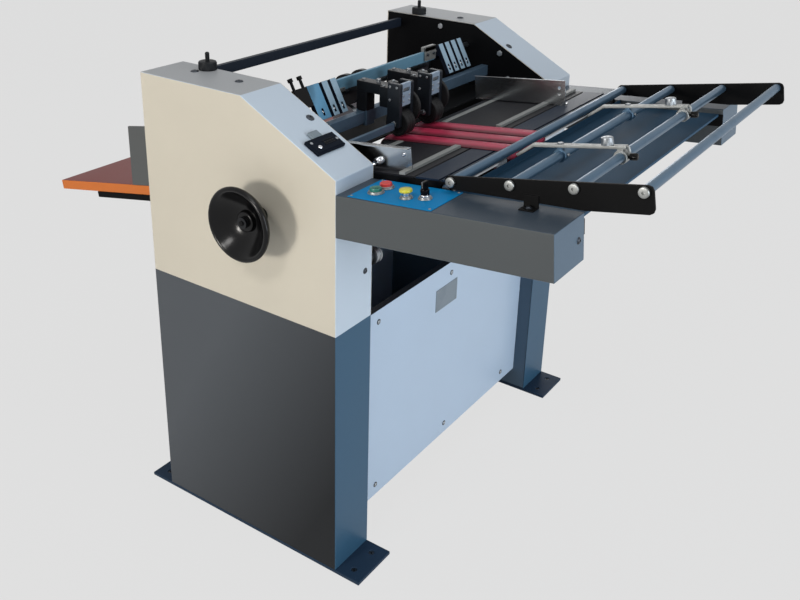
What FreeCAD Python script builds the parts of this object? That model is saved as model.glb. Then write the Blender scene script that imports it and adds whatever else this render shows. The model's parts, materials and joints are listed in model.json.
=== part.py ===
import FreeCAD, Part
import math
import os
import re
import Sketcher

# Floor-standing paper creasing machine with a bottom friction feeder.
# Millimetres, +Z up. The feeder is at the front (-Y), the delivery board at the rear (+Y) and the
# handwheel on the near side (-X). The origin is on the floor, at the centre of the bolt holes.

doc = FreeCAD.newDocument("creasing_machine")
sheet = doc.addObject("Spreadsheet::Sheet", "Sizes")

sizes = {
    # side frames
    "machineWidth": 1046, "frameThick": 123, "frameDepth": 528, "frameHeight": 1080,
    "coverHigh": 466, "slopeRun": 241, "slopeDrop": 125, "sheetWall": 2.5, "plateThick": 6,
    "footThick": 8, "footOver": 66, "boltHoleRadius": 7, "boltInsetX": 28, "boltInsetY": 33,
    # lower panels and cross members
    "panelRecess": 39, "panelBottom": 66, "panelDrop": 505, "panelFlange": 18,
    "beamSize": 40, "beamZ": 90, "shelfThick": 6, "shelfLong": 280, "railThick": 6,
    "tieBarY": 480, "tieBarDrop": 39, "tieBarHigh": 24, "tieBarThick": 12,
    # shafts and their fits
    "shaftRadius": 12, "rollerShaftRadius": 8, "runningFit": 0.05, "rubGap": 0.3,
    "bearingRadius": 26, "smallBearingRadius": 13, "bearingThick": 12, "plateHoleGap": 3, "shaftEnd": 4,
    "creaseY": 400, "creaseDrop": 215, "wheelGap": 0.6,
    "creaseWheelWide": 16, "creaseWheelPitch": 66, "creaseWheelX": 40,
    "gearModule": 2.5, "gearWide": 15, "gearPlay": 0.35,
    "creaseTeeth": 32, "layTeeth": 54, "feedTeeth": 26, "layAngle": 43.8,
    "gearOut": 15, "sprocketOut": 38, "pulleyOut": 68, "sprocketRadius": 36,
    "layPulleyRadius": 90, "motorPulleyRadius": 30, "pulleyWide": 18, "beltThick": 6,
    "motorRadius": 75, "motorLong": 220, "motorIn": 260, "motorFootHigh": 12, "motorFootWide": 150,
    # handwheel
    "handwheelRadius": 80, "handwheelReach": 77, "hubRadius": 20, "handwheelGap": 5, "hubLong": 24,
    "rimWide": 12, "rimThick": 7, "dishDeep": 24, "dishBack": 22, "bossRadius": 22, "bossHigh": 8,
    # feed table, in its own tilted frame
    "tableY": 120, "tableDrop": 155, "tableTilt": 6.7, "tableThick": 4, "tableSideGap": 2,
    "rollerSpan": 288, "feedRollerRadius": 18, "rollerSlotGap": 3, "tableRear": 228, "railOver": 14,
    "railDeep": 46, "feedBeltWide": 54, "feedBeltThick": 6, "feedBeltPitch": 60.5, "feedBeltX": -95,
    "drumOver": 2, "tableSplit": 216, "tableSplitGap": 5, "lipGap": 6, "lipLong": 26,
    "stripWide": 14, "stripThick": 2, "stripRear": -48, "frontBarHigh": 6, "frontBarAlong": -196,
    "guideNotchGap": 2,
    # feed bar and separator heads
    "feedBarY": 200, "feedBarDrop": 120, "feedBarSize": 20, "feedBarHigh": 28,
    "headWide": 54, "headWall": 5, "nearHeadX": -155, "farHeadX": -34, "headFrontY": 87,
    "headDrop": 24, "headBlockDrop": 36, "headBlockHigh": 46, "headWheelRadius": 30, "headWheelY": 102,
    "headBlockDeep": 50, "headBridgeWide": 30, "headBridgeHigh": 24,
    "headWheelClear": 0.5, "headAxleRadius": 4, "headPlateThick": 5, "headPlateSet": 1.5,
    "headPlateHigh": 51, "headSlotWide": 26, "headSlotHigh": 9, "headSlotDrop": 11, "cheekThick": 10,
    "cheekDeep": 34, "cheekUnder": 8, "headDiscRadius": 40, "headDiscThick": 8, "headDiscY": 110,
    "headDiscDrop": 86, "headScrewY": 124, "headScrewPitch": 40, "headKnobRadius": 12,
    "headKnobHigh": 9, "sensorEnd": -188, "sensorY": 95, "sensorDrop": 126, "sensorThick": 8,
    "sensorHigh": 16,
    # side guides
    "nearGuideIn": 25, "farGuideX": 235, "guideThick": 2.5, "guideFlange": 16,
    "nearGuideRear": -32, "nearGuideLong": 166, "nearGuideHigh": 48, "guideKnobRadius": 8,
    "guideKnobLong": 12, "guideKnobAlong": -116, "guideKnobUp": 14,
    "farGuideRear": 10, "farGuideLong": 253, "farGuideHigh": 60, "guideHoleRadius": 4,
    "guideHoleAlong": 16, "guideHoleUp": 44, "guideHolePitch": 14,
    # arms and controls
    "armWide": 120, "armLong": 457, "armDeep": 90, "armDrop": 154, "armTilt": 5.4,
    "controlPlateLong": 188, "controlPlateWide": 114, "controlPlateThick": 1.5, "controlPlateStart": 25,
    "buttonRadius": 12, "buttonHigh": 8, "collarWall": 3, "collarHigh": 5, "buttonTravel": 3,
    "buttonAlong": 64, "redIn": 77, "greenIn": 43, "stopAlong": 134, "stopIn": 42,
    "stopRadius": 13, "stopCapHigh": 8, "stopStemRadius": 8, "stopStemHigh": 9,
    "selectorAlong": 168, "selectorIn": 55, "selectorRadius": 9, "selectorHigh": 18,
    "selectorGripThick": 7, "selectorGripHigh": 16,
    "counterIn": 18, "counterWide": 85, "counterLong": 40, "counterHigh": 9, "counterAlong": 166,
    "counterTabIn": 46, "counterTabWide": 28, "counterTabLong": 18,
    # tray of rods in front of the table, in its own tilted frame
    "trayY": -194, "trayDrop": 111, "trayTilt": 10.7, "rodPitch": 125, "rodRadius": 9.5,
    "nutRadius": 10, "nutThick": 7, "trayPlateOver": 19, "trayPlateThick": 6, "trayPlateTop": 11.5,
    "trayPlateBottom": 40, "trayPlateEnd": 16, "trayCorner": 10, "trayHeel": 14, "trayBend": 265,
    "panDrop": 12, "panThick": 2, "panStart": 195.5, "panEnd": 446, "panFlange": 30, "panLip": 6,
    "panRearLip": 14,
    "nearStopX": -210, "farStopX": 140, "stopBarUp": 18, "stopBarWide": 14, "stopBarThick": 4,
    "stopBarFront": 12, "stopBarRear": 182, "stopTipLong": 39, "stopTipDrop": 22,
    "stopCollarRadius": 14, "stopCollarWide": 20, "stopPostSize": 12,
    "thumbRadius": 12, "thumbHigh": 16, "thumbAlong": 27, "endKnobRadius": 7, "endKnobLong": 22,
    "trayFootAlong": 364, "trayFootWide": 30, "trayFootReach": 24, "trayFootThick": 3, "trayFootHigh": 24,
    # fingers over the crease
    "fingerShaftY": 262, "fingerDrop": 60, "fingerShaftRadius": 8, "fingerLean": 28.5,
    "fingerLong": 80, "fingerThick": 12, "fingerFace": 33, "fingerAbove": 20.5, "fingerHubRadius": 13,
    "fingerLugHigh": 12, "fingerSlotWide": 6, "fingerSlotHigh": 16, "fingerSlotUp": 8,
    "fingerBarHigh": 28, "fingerBarThick": 8, "fingerBarDrop": 64, "fingerBarIn": 188,
    "nearFingerIn": 87, "farFingerIn": 178, "wideFinger": 40, "fingerWide": 20, "fingerGap": 10,
    "pinPlateWide": 44, "pinPlateThick": 8, "pinPlateHigh": 45, "pinPitch": 30, "pinRadius": 3.5,
    "pinLong": 18, "pinHeadRadius": 6, "pinHeadHigh": 8,
    # pressure knobs on the top
    "knobY": 432, "knobRadius": 20, "knobHigh": 19, "knobStemRadius": 5, "knobStemOut": 39,
    "knobStemIn": 40, "knobInset": 105.5, "stemBlockLong": 30, "stemBlockWide": 30, "stemBlockHigh": 16,
    # delivery board at the rear, in its own tilted frame
    "boardY": 470, "boardDrop": 295, "boardTilt": 10.8, "boardLong": 555, "boardThick": 24,
    "boardGap": 2, "wingStart": 20, "wingEnd": 266, "wingHigh": 149,
    "boardBracketStart": 40, "boardBracketEnd": 411, "boardBracketDeep": 15, "boardBracketWide": 30,
    # small screws
    "screwRadius": 5, "screwHigh": 3, "coverScrewRadius": 9, "topScrewFront": 313, "topScrewRear": 442,
    "coverScrewInset": 76, "slopeScrewAlong": 111, "screwInset": 24, "coverScrewUp": 113, "panelScrewX": 315,
    "panelScrewInset": 30, "armScrewDrop": 45,
}
for row, (alias, value) in enumerate(sizes.items(), start=1):
    sheet.set("A%d" % row, alias)
    sheet.set("B%d" % row, str(value))
    sheet.setAlias("B%d" % row, alias)
doc.recompute()

# places that follow from other sizes: heights from the frame's top, the drive from the far inner plate
derived = {
    "coverBottom": "(frameHeight - coverHigh)", "slopeLow": "(frameHeight - slopeDrop)",
    "panelTop": "(frameHeight - panelDrop)", "tieBarZ": "(frameHeight - tieBarDrop)",
    "lowerShaftZ": "(frameHeight - creaseDrop)", "tableZ": "(frameHeight - tableDrop)",
    "feedBarZ": "(frameHeight - feedBarDrop)", "sensorZ": "(frameHeight - sensorDrop)",
    "armTopZ": "(frameHeight - armDrop)", "trayZ": "(frameHeight - trayDrop)",
    "fingerShaftZ": "(frameHeight - fingerDrop)", "fingerBarZ": "(frameHeight - fingerBarDrop)",
    "boardZ": "(frameHeight - boardDrop)",
    "plateX": "(machineWidth / 2 - frameThick)",
    "gearX": "(plateX + gearOut)", "sprocketX": "(plateX + sprocketOut)", "pulleyX": "(plateX + pulleyOut)",
    "motorX": "(plateX - motorIn)", "shelfStart": "(plateX - shelfLong)",
    "nearGuideX": "(nearGuideIn - plateX)", "nearFingerX": "(nearFingerIn - plateX)",
    "farFingerX": "(plateX - farFingerIn)", "fingerBarHalf": "(plateX - fingerBarIn)",
    "headTopZ": "(frameHeight - headDrop)", "headBlockZ": "(frameHeight - headBlockDrop - headBlockHigh)",
}
front = "(-frameDepth / 2)"
rear = "(frameDepth / 2)"
outer = "(machineWidth / 2)"
inner = "plateX"
slopeAngle = "atan((frameHeight - slopeLow) / slopeRun)"
creaseWheelRadius = "(gearModule * creaseTeeth / 2 - wheelGap / 2)"
upperShaftZ = "(lowerShaftZ + gearModule * creaseTeeth)"
gearSpan = "(gearModule * (layTeeth + feedTeeth) / 2)"
feedY = "(tableY - feedRollerRadius * sin(tableTilt))"
feedZ = "(tableZ - feedRollerRadius * cos(tableTilt))"
layY = f"({feedY} + {gearSpan} * cos(layAngle))"
layZ = f"({feedZ} - {gearSpan} * sin(layAngle))"
motorZ = "(beamZ + beamSize + shelfThick + motorFootHigh + motorRadius)"
headWheelLift = "(rubGap + feedBeltThick + headWheelClear + headWheelRadius) / cos(tableTilt)"
headWheelZ = f"(tableZ + (tableY - headWheelY) * tan(tableTilt) + {headWheelLift})"
armInner = "(machineWidth / 2 - armWide)"
tableFrame = ("0", f"{front} + tableY", "tableZ")
armFrame = ("0", front, "armTopZ")
xAxis = FreeCAD.Vector(1, 0, 0)
yAxis = FreeCAD.Vector(0, 1, 0)
zero = ("0", "0", "0")
nodes = []


def sized(expression):
    def word(found):
        name = found[0]
        if name in derived:
            return sized(derived[name])
        return "Sizes." + name if name in sizes else name

    return re.sub(r"[A-Za-z]\w*", word, expression)


def bind(part, expressions):
    for path, expression in expressions.items():
        part.setExpression(path, sized(expression))


def place(part, at, tilt=None, axis=xAxis):
    if tilt is not None:
        part.Placement = FreeCAD.Placement(FreeCAD.Vector(), FreeCAD.Rotation(axis, 10))
        bind(part, {"Placement.Rotation.Angle": tilt})
    bind(part, dict(zip(("Placement.Base.x", "Placement.Base.y", "Placement.Base.z"), at)))
    return part


def node(part, name):
    part.Label = name
    nodes.append(part)
    return part


def box(lengths, at=zero):
    part = doc.addObject("Part::Box", "Box")
    bind(part, dict(zip(("Length", "Width", "Height"), lengths)))
    return place(part, at)


def cylinder(radius, length, at=zero, along="Z"):
    part = doc.addObject("Part::Cylinder", "Cylinder")
    bind(part, {"Radius": radius, "Height": length})
    if along == "X":
        part.Placement = FreeCAD.Placement(FreeCAD.Vector(), FreeCAD.Rotation(yAxis, 90))
    if along == "Y":
        part.Placement = FreeCAD.Placement(FreeCAD.Vector(), FreeCAD.Rotation(xAxis, -90))
    return place(part, at)


def group(parts, at=zero, tilt=None, axis=xAxis):
    part = doc.addObject("Part::Compound", "Group")
    part.Links = parts
    return place(part, at, tilt, axis)


def fuse(parts):
    part = doc.addObject("Part::MultiFuse", "Fuse")
    part.Shapes = parts
    part.Refine = True
    return part


def cut(base, tools):
    part = doc.addObject("Part::Cut", "Cut")
    part.Base = base
    part.Tool = fuse(tools) if len(tools) > 1 else tools[0]
    return part


def mirrored(source):
    part = doc.addObject("Part::Mirroring", "Mirrored")
    part.Source = source
    part.Normal = xAxis
    return part


def outlineSketch(body, plane, outline):
    sketch = body.newObject("Sketcher::SketchObject", "Outline")
    support = [feature for feature in body.Origin.OriginFeatures if feature.Role == plane][0]
    sketch.AttachmentSupport = [(support, "")]
    sketch.MapMode = "FlatFace"
    count = len(outline)
    for index in range(count):
        angle = 2 * math.pi * index / count
        following = 2 * math.pi * (index + 1) / count
        start = FreeCAD.Vector(math.cos(angle), math.sin(angle), 0)
        end = FreeCAD.Vector(math.cos(following), math.sin(following), 0)
        sketch.addGeometry(Part.LineSegment(start, end), False)
    for index in range(count):
        sketch.addConstraint(Sketcher.Constraint("Coincident", index, 2, (index + 1) % count, 1))
    for index, corner in enumerate(outline):
        for kind, distance in zip(("DistanceX", "DistanceY"), corner):
            row = sketch.addConstraint(Sketcher.Constraint(kind, -1, 1, index, 1, 1.0))
            sketch.setExpression("Constraints[%d]" % row, sized(distance))
    return sketch


def prism(outline, length, at=zero, plane="YZ_Plane", tilt=None):
    body = doc.addObject("PartDesign::Body", "Prism")
    pad = body.newObject("PartDesign::Pad", "Pad")
    pad.Profile = outlineSketch(body, plane, outline)
    bind(pad, {"Length": length})
    body.Tip = pad
    return place(body, at, tilt)


# A solid turned about the X axis from an outline of (x, radius).
def turned(outline, at=zero):
    body = doc.addObject("PartDesign::Body", "Turned")
    sketch = outlineSketch(body, "XY_Plane", outline)
    revolution = body.newObject("PartDesign::Revolution", "Revolution")
    revolution.Profile = sketch
    revolution.ReferenceAxis = (sketch, ["H_Axis"])
    revolution.Angle = 360
    body.Tip = revolution
    return place(body, at)


def ring(radius, bore, length, at=zero, along="X"):
    return cut(cylinder(radius, length, at, along), [cylinder(bore, length, at, along)])


# A spur gear along X with involute flanks, with a tooth pointing along +Z.
def gearShape(teeth):
    pitchRadius = sheet.gearModule * teeth / 2
    pressure = math.radians(20)
    baseRadius = pitchRadius * math.cos(pressure)
    rootRadius = pitchRadius - 1.25 * sheet.gearModule
    tipRadius = pitchRadius + sheet.gearModule
    halfTooth = math.pi / (2 * teeth) - sheet.gearPlay / (4 * pitchRadius) + math.tan(pressure) - pressure
    flank = []
    for share in (0, 0.35, 0.7, 1):
        radius = max(baseRadius, rootRadius) + share * (tipRadius - max(baseRadius, rootRadius))
        turn = math.acos(min(1, baseRadius / radius))
        flank.append((radius, halfTooth - (math.tan(turn) - turn)))
    flank.insert(0, (rootRadius, flank[0][1]))
    corners = []
    for tooth in range(teeth):
        middle = 2 * math.pi * tooth / teeth
        for radius, angle in flank:
            corners.append((radius, middle - angle))
        for radius, angle in reversed(flank):
            corners.append((radius, middle + angle))
    points = []
    for radius, angle in corners:
        points.append(FreeCAD.Vector(0, radius * math.sin(angle), radius * math.cos(angle)))
    face = Part.Face(Part.makePolygon(points + points[:1]))
    return face.extrude(FreeCAD.Vector(sheet.gearWide, 0, 0))


def gear(teeth, bore, at, turn):
    part = doc.addObject("Part::Feature", "Gear")
    hole = Part.makeCylinder(bore, sheet.gearWide, FreeCAD.Vector(), xAxis)
    part.Shape = gearShape(teeth).cut(hole)
    return place(part, at, turn)


# The face inside a belt line round two pulleys, the first at the origin, in the YZ plane.
def loopFace(firstRadius, secondRadius, centre):
    span = math.hypot(centre.y, centre.z)
    lean = math.asin((firstRadius - secondRadius) / span)
    heading = math.atan2(centre.z, centre.y)

    def onPulley(middle, radius, angle):
        return middle + FreeCAD.Vector(0, radius * math.cos(angle), radius * math.sin(angle))

    nothing = FreeCAD.Vector()
    left = heading + math.pi / 2 - lean
    right = heading - math.pi / 2 + lean
    firstLeft = onPulley(nothing, firstRadius, left)
    firstRight = onPulley(nothing, firstRadius, right)
    secondLeft = onPulley(centre, secondRadius, left)
    secondRight = onPulley(centre, secondRadius, right)
    firstBack = onPulley(nothing, firstRadius, heading + math.pi)
    secondBack = onPulley(centre, secondRadius, heading)
    edges = [Part.Arc(firstLeft, firstBack, firstRight).toShape(), Part.makeLine(firstRight, secondRight),
             Part.Arc(secondRight, secondBack, secondLeft).toShape(), Part.makeLine(secondLeft, firstLeft)]
    return Part.Face(Part.Wire(edges))


def beltLoop(firstRadius, secondRadius, thick, wide, centre, at, tilt=None):
    part = doc.addObject("Part::Feature", "Belt")
    gap = sheet.rubGap
    outside = loopFace(firstRadius + gap + thick, secondRadius + gap + thick, centre)
    inside = loopFace(firstRadius + gap, secondRadius + gap, centre)
    part.Shape = outside.cut(inside).extrude(FreeCAD.Vector(wide, 0, 0))
    return place(part, at, tilt)


# ---- side frames: foot plates, columns, covers and inner plates
def footPlate(side):
    plate = box(("frameThick", "frameDepth + 2 * footOver", "footThick"),
                (f"{side} * ({outer} + {inner}) / 2 - frameThick / 2", f"{front} - footOver", "0"))
    holes = []
    for across in (f"{side} * ({outer} - boltInsetX)", f"{side} * ({inner} + boltInsetX)"):
        for along in (f"{front} - boltInsetY", f"{rear} + boltInsetY"):
            holes.append(cylinder("boltHoleRadius", "footThick", (across, along, "0")))
    return cut(plate, holes)


node(group([footPlate("-1"), footPlate("1")]), "foot_plates")


# The side frame's outline in Y and Z, upright below the slope and level on top, set in by a wall.
def frameOutline(low, high, inset="0"):
    slopeFoot = f"(slopeLow + {inset} * tan({slopeAngle}) - {inset} / cos({slopeAngle}))"
    slopeHead = f"({front} + slopeRun + {inset} * tan({slopeAngle} / 2))"
    return [(f"{front} + {inset}", low), (f"{rear} - {inset}", low), (f"{rear} - {inset}", high),
            (slopeHead, high), (f"{front} + {inset}", slopeFoot)]


columnShell = box(("frameThick", "frameDepth", "coverBottom - footThick"), (f"-{outer}", front, "footThick"))
columnRoom = box(("frameThick - sheetWall", "frameDepth - 2 * sheetWall", "coverBottom - footThick"),
                 (f"-{outer} + sheetWall", f"{front} + sheetWall", "footThick + sheetWall"))
nearColumn = node(cut(columnShell, [columnRoom]), "near_column")
node(mirrored(nearColumn), "far_column")

coverBody = doc.addObject("PartDesign::Body", "Cover")
coverPad = coverBody.newObject("PartDesign::Pad", "CoverPad")
coverPad.Profile = outlineSketch(coverBody, "YZ_Plane", frameOutline("coverBottom", "frameHeight"))
bind(coverPad, {"Length": "frameThick"})
coverRoom = coverBody.newObject("PartDesign::Pocket", "CoverRoom")
roomSketch = outlineSketch(coverBody, "YZ_Plane", frameOutline("coverBottom - sheetWall",
                                                               "frameHeight - sheetWall", "sheetWall"))
bind(roomSketch, {"AttachmentOffset.Base.z": "sheetWall"})
coverRoom.Profile = roomSketch
coverRoom.Reversed = True
bind(coverRoom, {"Length": "frameThick"})
coverBody.Tip = coverRoom
place(coverBody, (f"-{outer}", "0", "0"))
knobHole = cylinder("knobStemRadius + plateHoleGap", "4 * sheetWall",
                    (f"-{outer} + knobInset", f"{front} + knobY", "frameHeight - 2 * sheetWall"))
shaftHole = cylinder("shaftRadius + plateHoleGap", "4 * sheetWall",
                     (f"-{outer} - sheetWall", f"{front} + {layY}", layZ), "X")
node(cut(coverBody, [knobHole, shaftHole]), "near_cover")
farKnobHole = cylinder("knobStemRadius + plateHoleGap", "4 * sheetWall",
                       (f"{outer} - knobInset", f"{front} + knobY", "frameHeight - 2 * sheetWall"))
node(cut(mirrored(coverBody), [farKnobHole]), "far_cover")


def innerPlate(start, holes):
    plate = prism(frameOutline("footThick + sheetWall", "frameHeight - sheetWall", "sheetWall"),
                  "plateThick", (start, "0", "0"))
    tools = []
    for radius, along, up in holes:
        tools.append(cylinder(radius, "plateThick", (start, f"{front} + {along}", up), "X"))
    return cut(plate, tools)


shaftHoles = [("shaftRadius + plateHoleGap", "creaseY", "lowerShaftZ"),
              ("shaftRadius + plateHoleGap", "creaseY", upperShaftZ),
              ("shaftRadius + plateHoleGap", layY, layZ),
              ("rollerShaftRadius + plateHoleGap", feedY, feedZ)]
motorHole = [("shaftRadius + plateHoleGap", layY, motorZ)]


# A block on an inner plate that the pressure knob's stem stands in.
def stemBlock(start, across):
    block = box(("stemBlockLong", "stemBlockWide", "stemBlockHigh"),
                (start, f"{front} + knobY - stemBlockWide / 2", "frameHeight - knobStemIn"))
    stemHole = cylinder("knobStemRadius + runningFit", "stemBlockHigh",
                        (across, f"{front} + knobY", "frameHeight - knobStemIn"))
    return cut(block, [stemHole])


node(group([innerPlate(f"-{inner} - plateThick", shaftHoles),
            innerPlate(inner, shaftHoles + motorHole),
            stemBlock(f"-{inner} - plateThick - stemBlockLong", f"-{outer} + knobInset"),
            stemBlock(f"{inner} + plateThick", f"{outer} - knobInset")]), "inner_plates")


# ---- lower panels, cross members and tie bar
def lowerPanel(at, flangeAt):
    sheetPart = box((f"2 * {inner}", "sheetWall", "panelTop - panelBottom"), at)
    topFlange = box((f"2 * {inner}", "panelFlange", "sheetWall"), flangeAt)
    return fuse([sheetPart, topFlange])


node(lowerPanel((f"-{inner}", f"{front} + panelRecess", "panelBottom"),
                (f"-{inner}", f"{front} + panelRecess", "panelTop - sheetWall")), "front_panel")
node(lowerPanel((f"-{inner}", f"{rear} - panelRecess - sheetWall", "panelBottom"),
                (f"-{inner}", f"{rear} - panelRecess - panelFlange", "panelTop - sheetWall")), "rear_panel")

beamInset = "(panelRecess + sheetWall)"
crossParts = []
for beamY in (f"{front} + {beamInset}", f"{rear} - {beamInset} - beamSize"):
    crossParts.append(box((f"2 * {inner}", "beamSize", "beamSize"), (f"-{inner}", beamY, "beamZ")))
crossParts.append(box((f"{inner} - shelfStart", f"frameDepth - 2 * {beamInset}", "shelfThick"),
                      ("shelfStart", f"{front} + {beamInset}", "beamZ + beamSize")))
railStart = "(rollerSpan + railOver)"
for railX in (f"-{inner}", f"{inner} - railThick"):
    rail = box(("railThick", f"{railStart} + tableRear", "railDeep - tableThick"),
               (railX, f"-{railStart}", "-railDeep"))
    shaftHoles = []
    for along in ("0", "-rollerSpan"):
        shaftHoles.append(cylinder("rollerShaftRadius + plateHoleGap", "railThick",
                                   (railX, along, "-feedRollerRadius"), "X"))
    crossParts.append(group([cut(rail, shaftHoles)], tableFrame, "-tableTilt"))
node(group(crossParts), "cross_members")

node(box((f"2 * {inner}", "tieBarThick", "tieBarHigh"),
         (f"-{inner}", f"{front} + tieBarY", "tieBarZ")), "tie_bar")


# ---- bearings in the inner plates and in the table rails
bearingParts = []
for start in (f"-{inner}", f"{inner} - bearingThick"):
    for along, up in (("creaseY", "lowerShaftZ"), ("creaseY", upperShaftZ), (layY, layZ)):
        bearingParts.append(ring("bearingRadius", "shaftRadius + runningFit", "bearingThick",
                                 (start, f"{front} + {along}", up)))
bearingParts.append(ring("shaftRadius + plateHoleGap", "shaftRadius + runningFit", "sheetWall",
                         (f"-{outer}", f"{front} + {layY}", layZ)))
tableBearings = []
for start in (f"-{inner} + railThick", f"{inner} - railThick - bearingThick"):
    for along in ("0", "-rollerSpan"):
        tableBearings.append(ring("smallBearingRadius", "rollerShaftRadius + runningFit", "bearingThick",
                                  (start, along, "-feedRollerRadius")))
bearingParts.append(group(tableBearings, tableFrame, "-tableTilt"))
node(group(bearingParts), "bearings")


# ---- motor, layshaft, handwheel and creasing shafts
motorAt = ("motorX", f"{front} + {layY}", motorZ)
motorBody = cylinder("motorRadius", "motorLong", motorAt, "X")
motorFoot = box(("motorLong / 2", "motorFootWide", "motorFootHigh + motorRadius / 2"),
                ("motorX + motorLong / 4", f"{front} + {layY} - motorFootWide / 2",
                 "beamZ + beamSize + shelfThick"))
node(fuse([motorBody, motorFoot]), "motor")

layAt = (f"{front} + {layY}", layZ)
motorLine = (f"{front} + {layY}", motorZ)
lowerAt = (f"{front} + creaseY", "lowerShaftZ")
upperAt = (f"{front} + creaseY", upperShaftZ)
motorEnd = "(motorX + motorLong + rubGap)"
motorShaft = cylinder("shaftRadius", f"pulleyX + pulleyWide - {motorEnd}", (motorEnd,) + motorLine, "X")
motorPulley = ring("motorPulleyRadius", "shaftRadius", "pulleyWide", ("pulleyX",) + motorLine)
node(group([motorShaft, motorPulley]), "motor_pulley")

layStart = f"({outer} + handwheelReach - dishDeep + bossHigh)"
node(cylinder("shaftRadius", f"{layStart} + pulleyX + pulleyWide",
              (f"-{layStart}",) + layAt, "X"), "layshaft")
node(ring("layPulleyRadius", "shaftRadius", "pulleyWide", ("pulleyX",) + layAt), "layshaft_pulley")
laySprocket = ring("sprocketRadius", "shaftRadius", "pulleyWide", ("sprocketX",) + layAt)
layGear = gear(sheet.layTeeth, sheet.shaftRadius, ("gearX",) + layAt, "90 - layAngle")
node(group([layGear, laySprocket]), "layshaft_drive")

rimBack = "(handwheelReach - rimWide)"
wheelOutline = [("-handwheelGap", "shaftRadius"), ("-handwheelGap", "hubRadius"),
                ("-(handwheelGap + hubLong)", "hubRadius + rimThick / 3"),
                ("-(handwheelGap + hubLong + dishBack / 2)", "handwheelRadius / 2"),
                (f"-({rimBack} - rimThick / 2)", "handwheelRadius - rimThick"),
                (f"-{rimBack}", "handwheelRadius - rimThick / 4"),
                (f"-({rimBack} + rimWide / 3)", "handwheelRadius"),
                ("-(handwheelReach - rimWide / 3)", "handwheelRadius"),
                ("-handwheelReach", "handwheelRadius - rimThick / 2"),
                ("-(handwheelReach - rimWide / 3)", "handwheelRadius - rimThick * 3 / 2"),
                ("-(handwheelReach - dishDeep)", "bossRadius + rimWide"),
                ("-(handwheelReach - dishDeep)", "bossRadius"),
                ("-(handwheelReach - dishDeep + bossHigh)", "bossRadius - bossHigh / 2"),
                ("-(handwheelReach - dishDeep + bossHigh)", "shaftRadius")]
node(turned(wheelOutline, (f"-{outer}",) + layAt), "handwheel")

shaftStart = f"({inner} + plateThick + shaftEnd)"
for name, at in (("lower_shaft", lowerAt), ("upper_shaft", upperAt)):
    shaft = cylinder("shaftRadius", f"{shaftStart} + sprocketX + pulleyWide", (f"-{shaftStart}",) + at, "X")
    if name == "lower_shaft":
        drums = []
        for count in range(2):
            drums.append(ring(creaseWheelRadius, "shaftRadius", "creaseWheelWide",
                              (f"creaseWheelX + {count} * creaseWheelPitch - creaseWheelWide / 2",) + at))
        shaft = group([shaft] + drums)
    node(shaft, name)
wheels = []
for count in range(2):
    wheels.append(ring(creaseWheelRadius, "shaftRadius", "creaseWheelWide",
                       (f"creaseWheelX + {count} * creaseWheelPitch - creaseWheelWide / 2",) + upperAt))
node(group(wheels), "creasing_wheels")
lowerSprocket = ring("sprocketRadius", "shaftRadius", "pulleyWide", ("sprocketX",) + lowerAt)
lowerGear = gear(sheet.creaseTeeth, sheet.shaftRadius, ("gearX",) + lowerAt, "0")
node(group([lowerGear, lowerSprocket]), "lower_drive")
node(gear(sheet.creaseTeeth, sheet.shaftRadius, ("gearX",) + upperAt, "180 / creaseTeeth"), "upper_gear")

doc.recompute()
layPlace = laySprocket.Base.Placement.Base
motorPlace = motorPulley.Base.Placement.Base
lowerPlace = lowerSprocket.Base.Placement.Base
motorSpan = FreeCAD.Vector(0, motorPlace.y - layPlace.y, motorPlace.z - layPlace.z)
sprocketSpan = FreeCAD.Vector(0, lowerPlace.y - layPlace.y, lowerPlace.z - layPlace.z)
driveBelt = beltLoop(sheet.layPulleyRadius, sheet.motorPulleyRadius, sheet.beltThick, sheet.pulleyWide,
                     motorSpan, ("pulleyX",) + layAt)
timingBelt = beltLoop(sheet.sprocketRadius, sheet.sprocketRadius, sheet.beltThick, sheet.pulleyWide,
                      sprocketSpan, ("sprocketX",) + layAt)
node(group([driveBelt, timingBelt]), "drive_belts")


# ---- feed rollers, red feed belts and feed table
def rollerWithDrums(at, start, end):
    parts = [cylinder("rollerShaftRadius", f"{end} + {start}", (f"-{start}",) + at, "X")]
    for count in (-1, 0, 1):
        drumX = f"feedBeltX + {count} * feedBeltPitch - feedBeltWide / 2 - drumOver"
        parts.append(ring("feedRollerRadius", "rollerShaftRadius", "feedBeltWide + 2 * drumOver",
                          (drumX,) + at))
    return group(parts)


feedAt = (f"{front} + {feedY}", feedZ)
frontRollerAt = (f"{front} + {feedY} - rollerSpan * cos(tableTilt)", f"{feedZ} + rollerSpan * sin(tableTilt)")
rollerEnd = f"({inner} - railThick + shaftEnd)"
node(rollerWithDrums(feedAt, rollerEnd, "(gearX + gearWide)"), "feed_roller")
node(rollerWithDrums(frontRollerAt, rollerEnd, rollerEnd), "front_roller")
node(gear(sheet.feedTeeth, sheet.rollerShaftRadius, ("gearX",) + feedAt,
          "90 - layAngle + 180 / feedTeeth"), "feed_gear")

feedBelts = []
beltRun = FreeCAD.Vector(0, -sheet.rollerSpan, 0)
for count in (-1, 0, 1):
    beltX = f"feedBeltX + {count} * feedBeltPitch - feedBeltWide / 2"
    feedBelts.append(beltLoop(sheet.feedRollerRadius, sheet.feedRollerRadius, sheet.feedBeltThick,
                              sheet.feedBeltWide, beltRun, (beltX, "0", "-feedRollerRadius")))
node(group(feedBelts, tableFrame, "-tableTilt"), "feed_belts")

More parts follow.
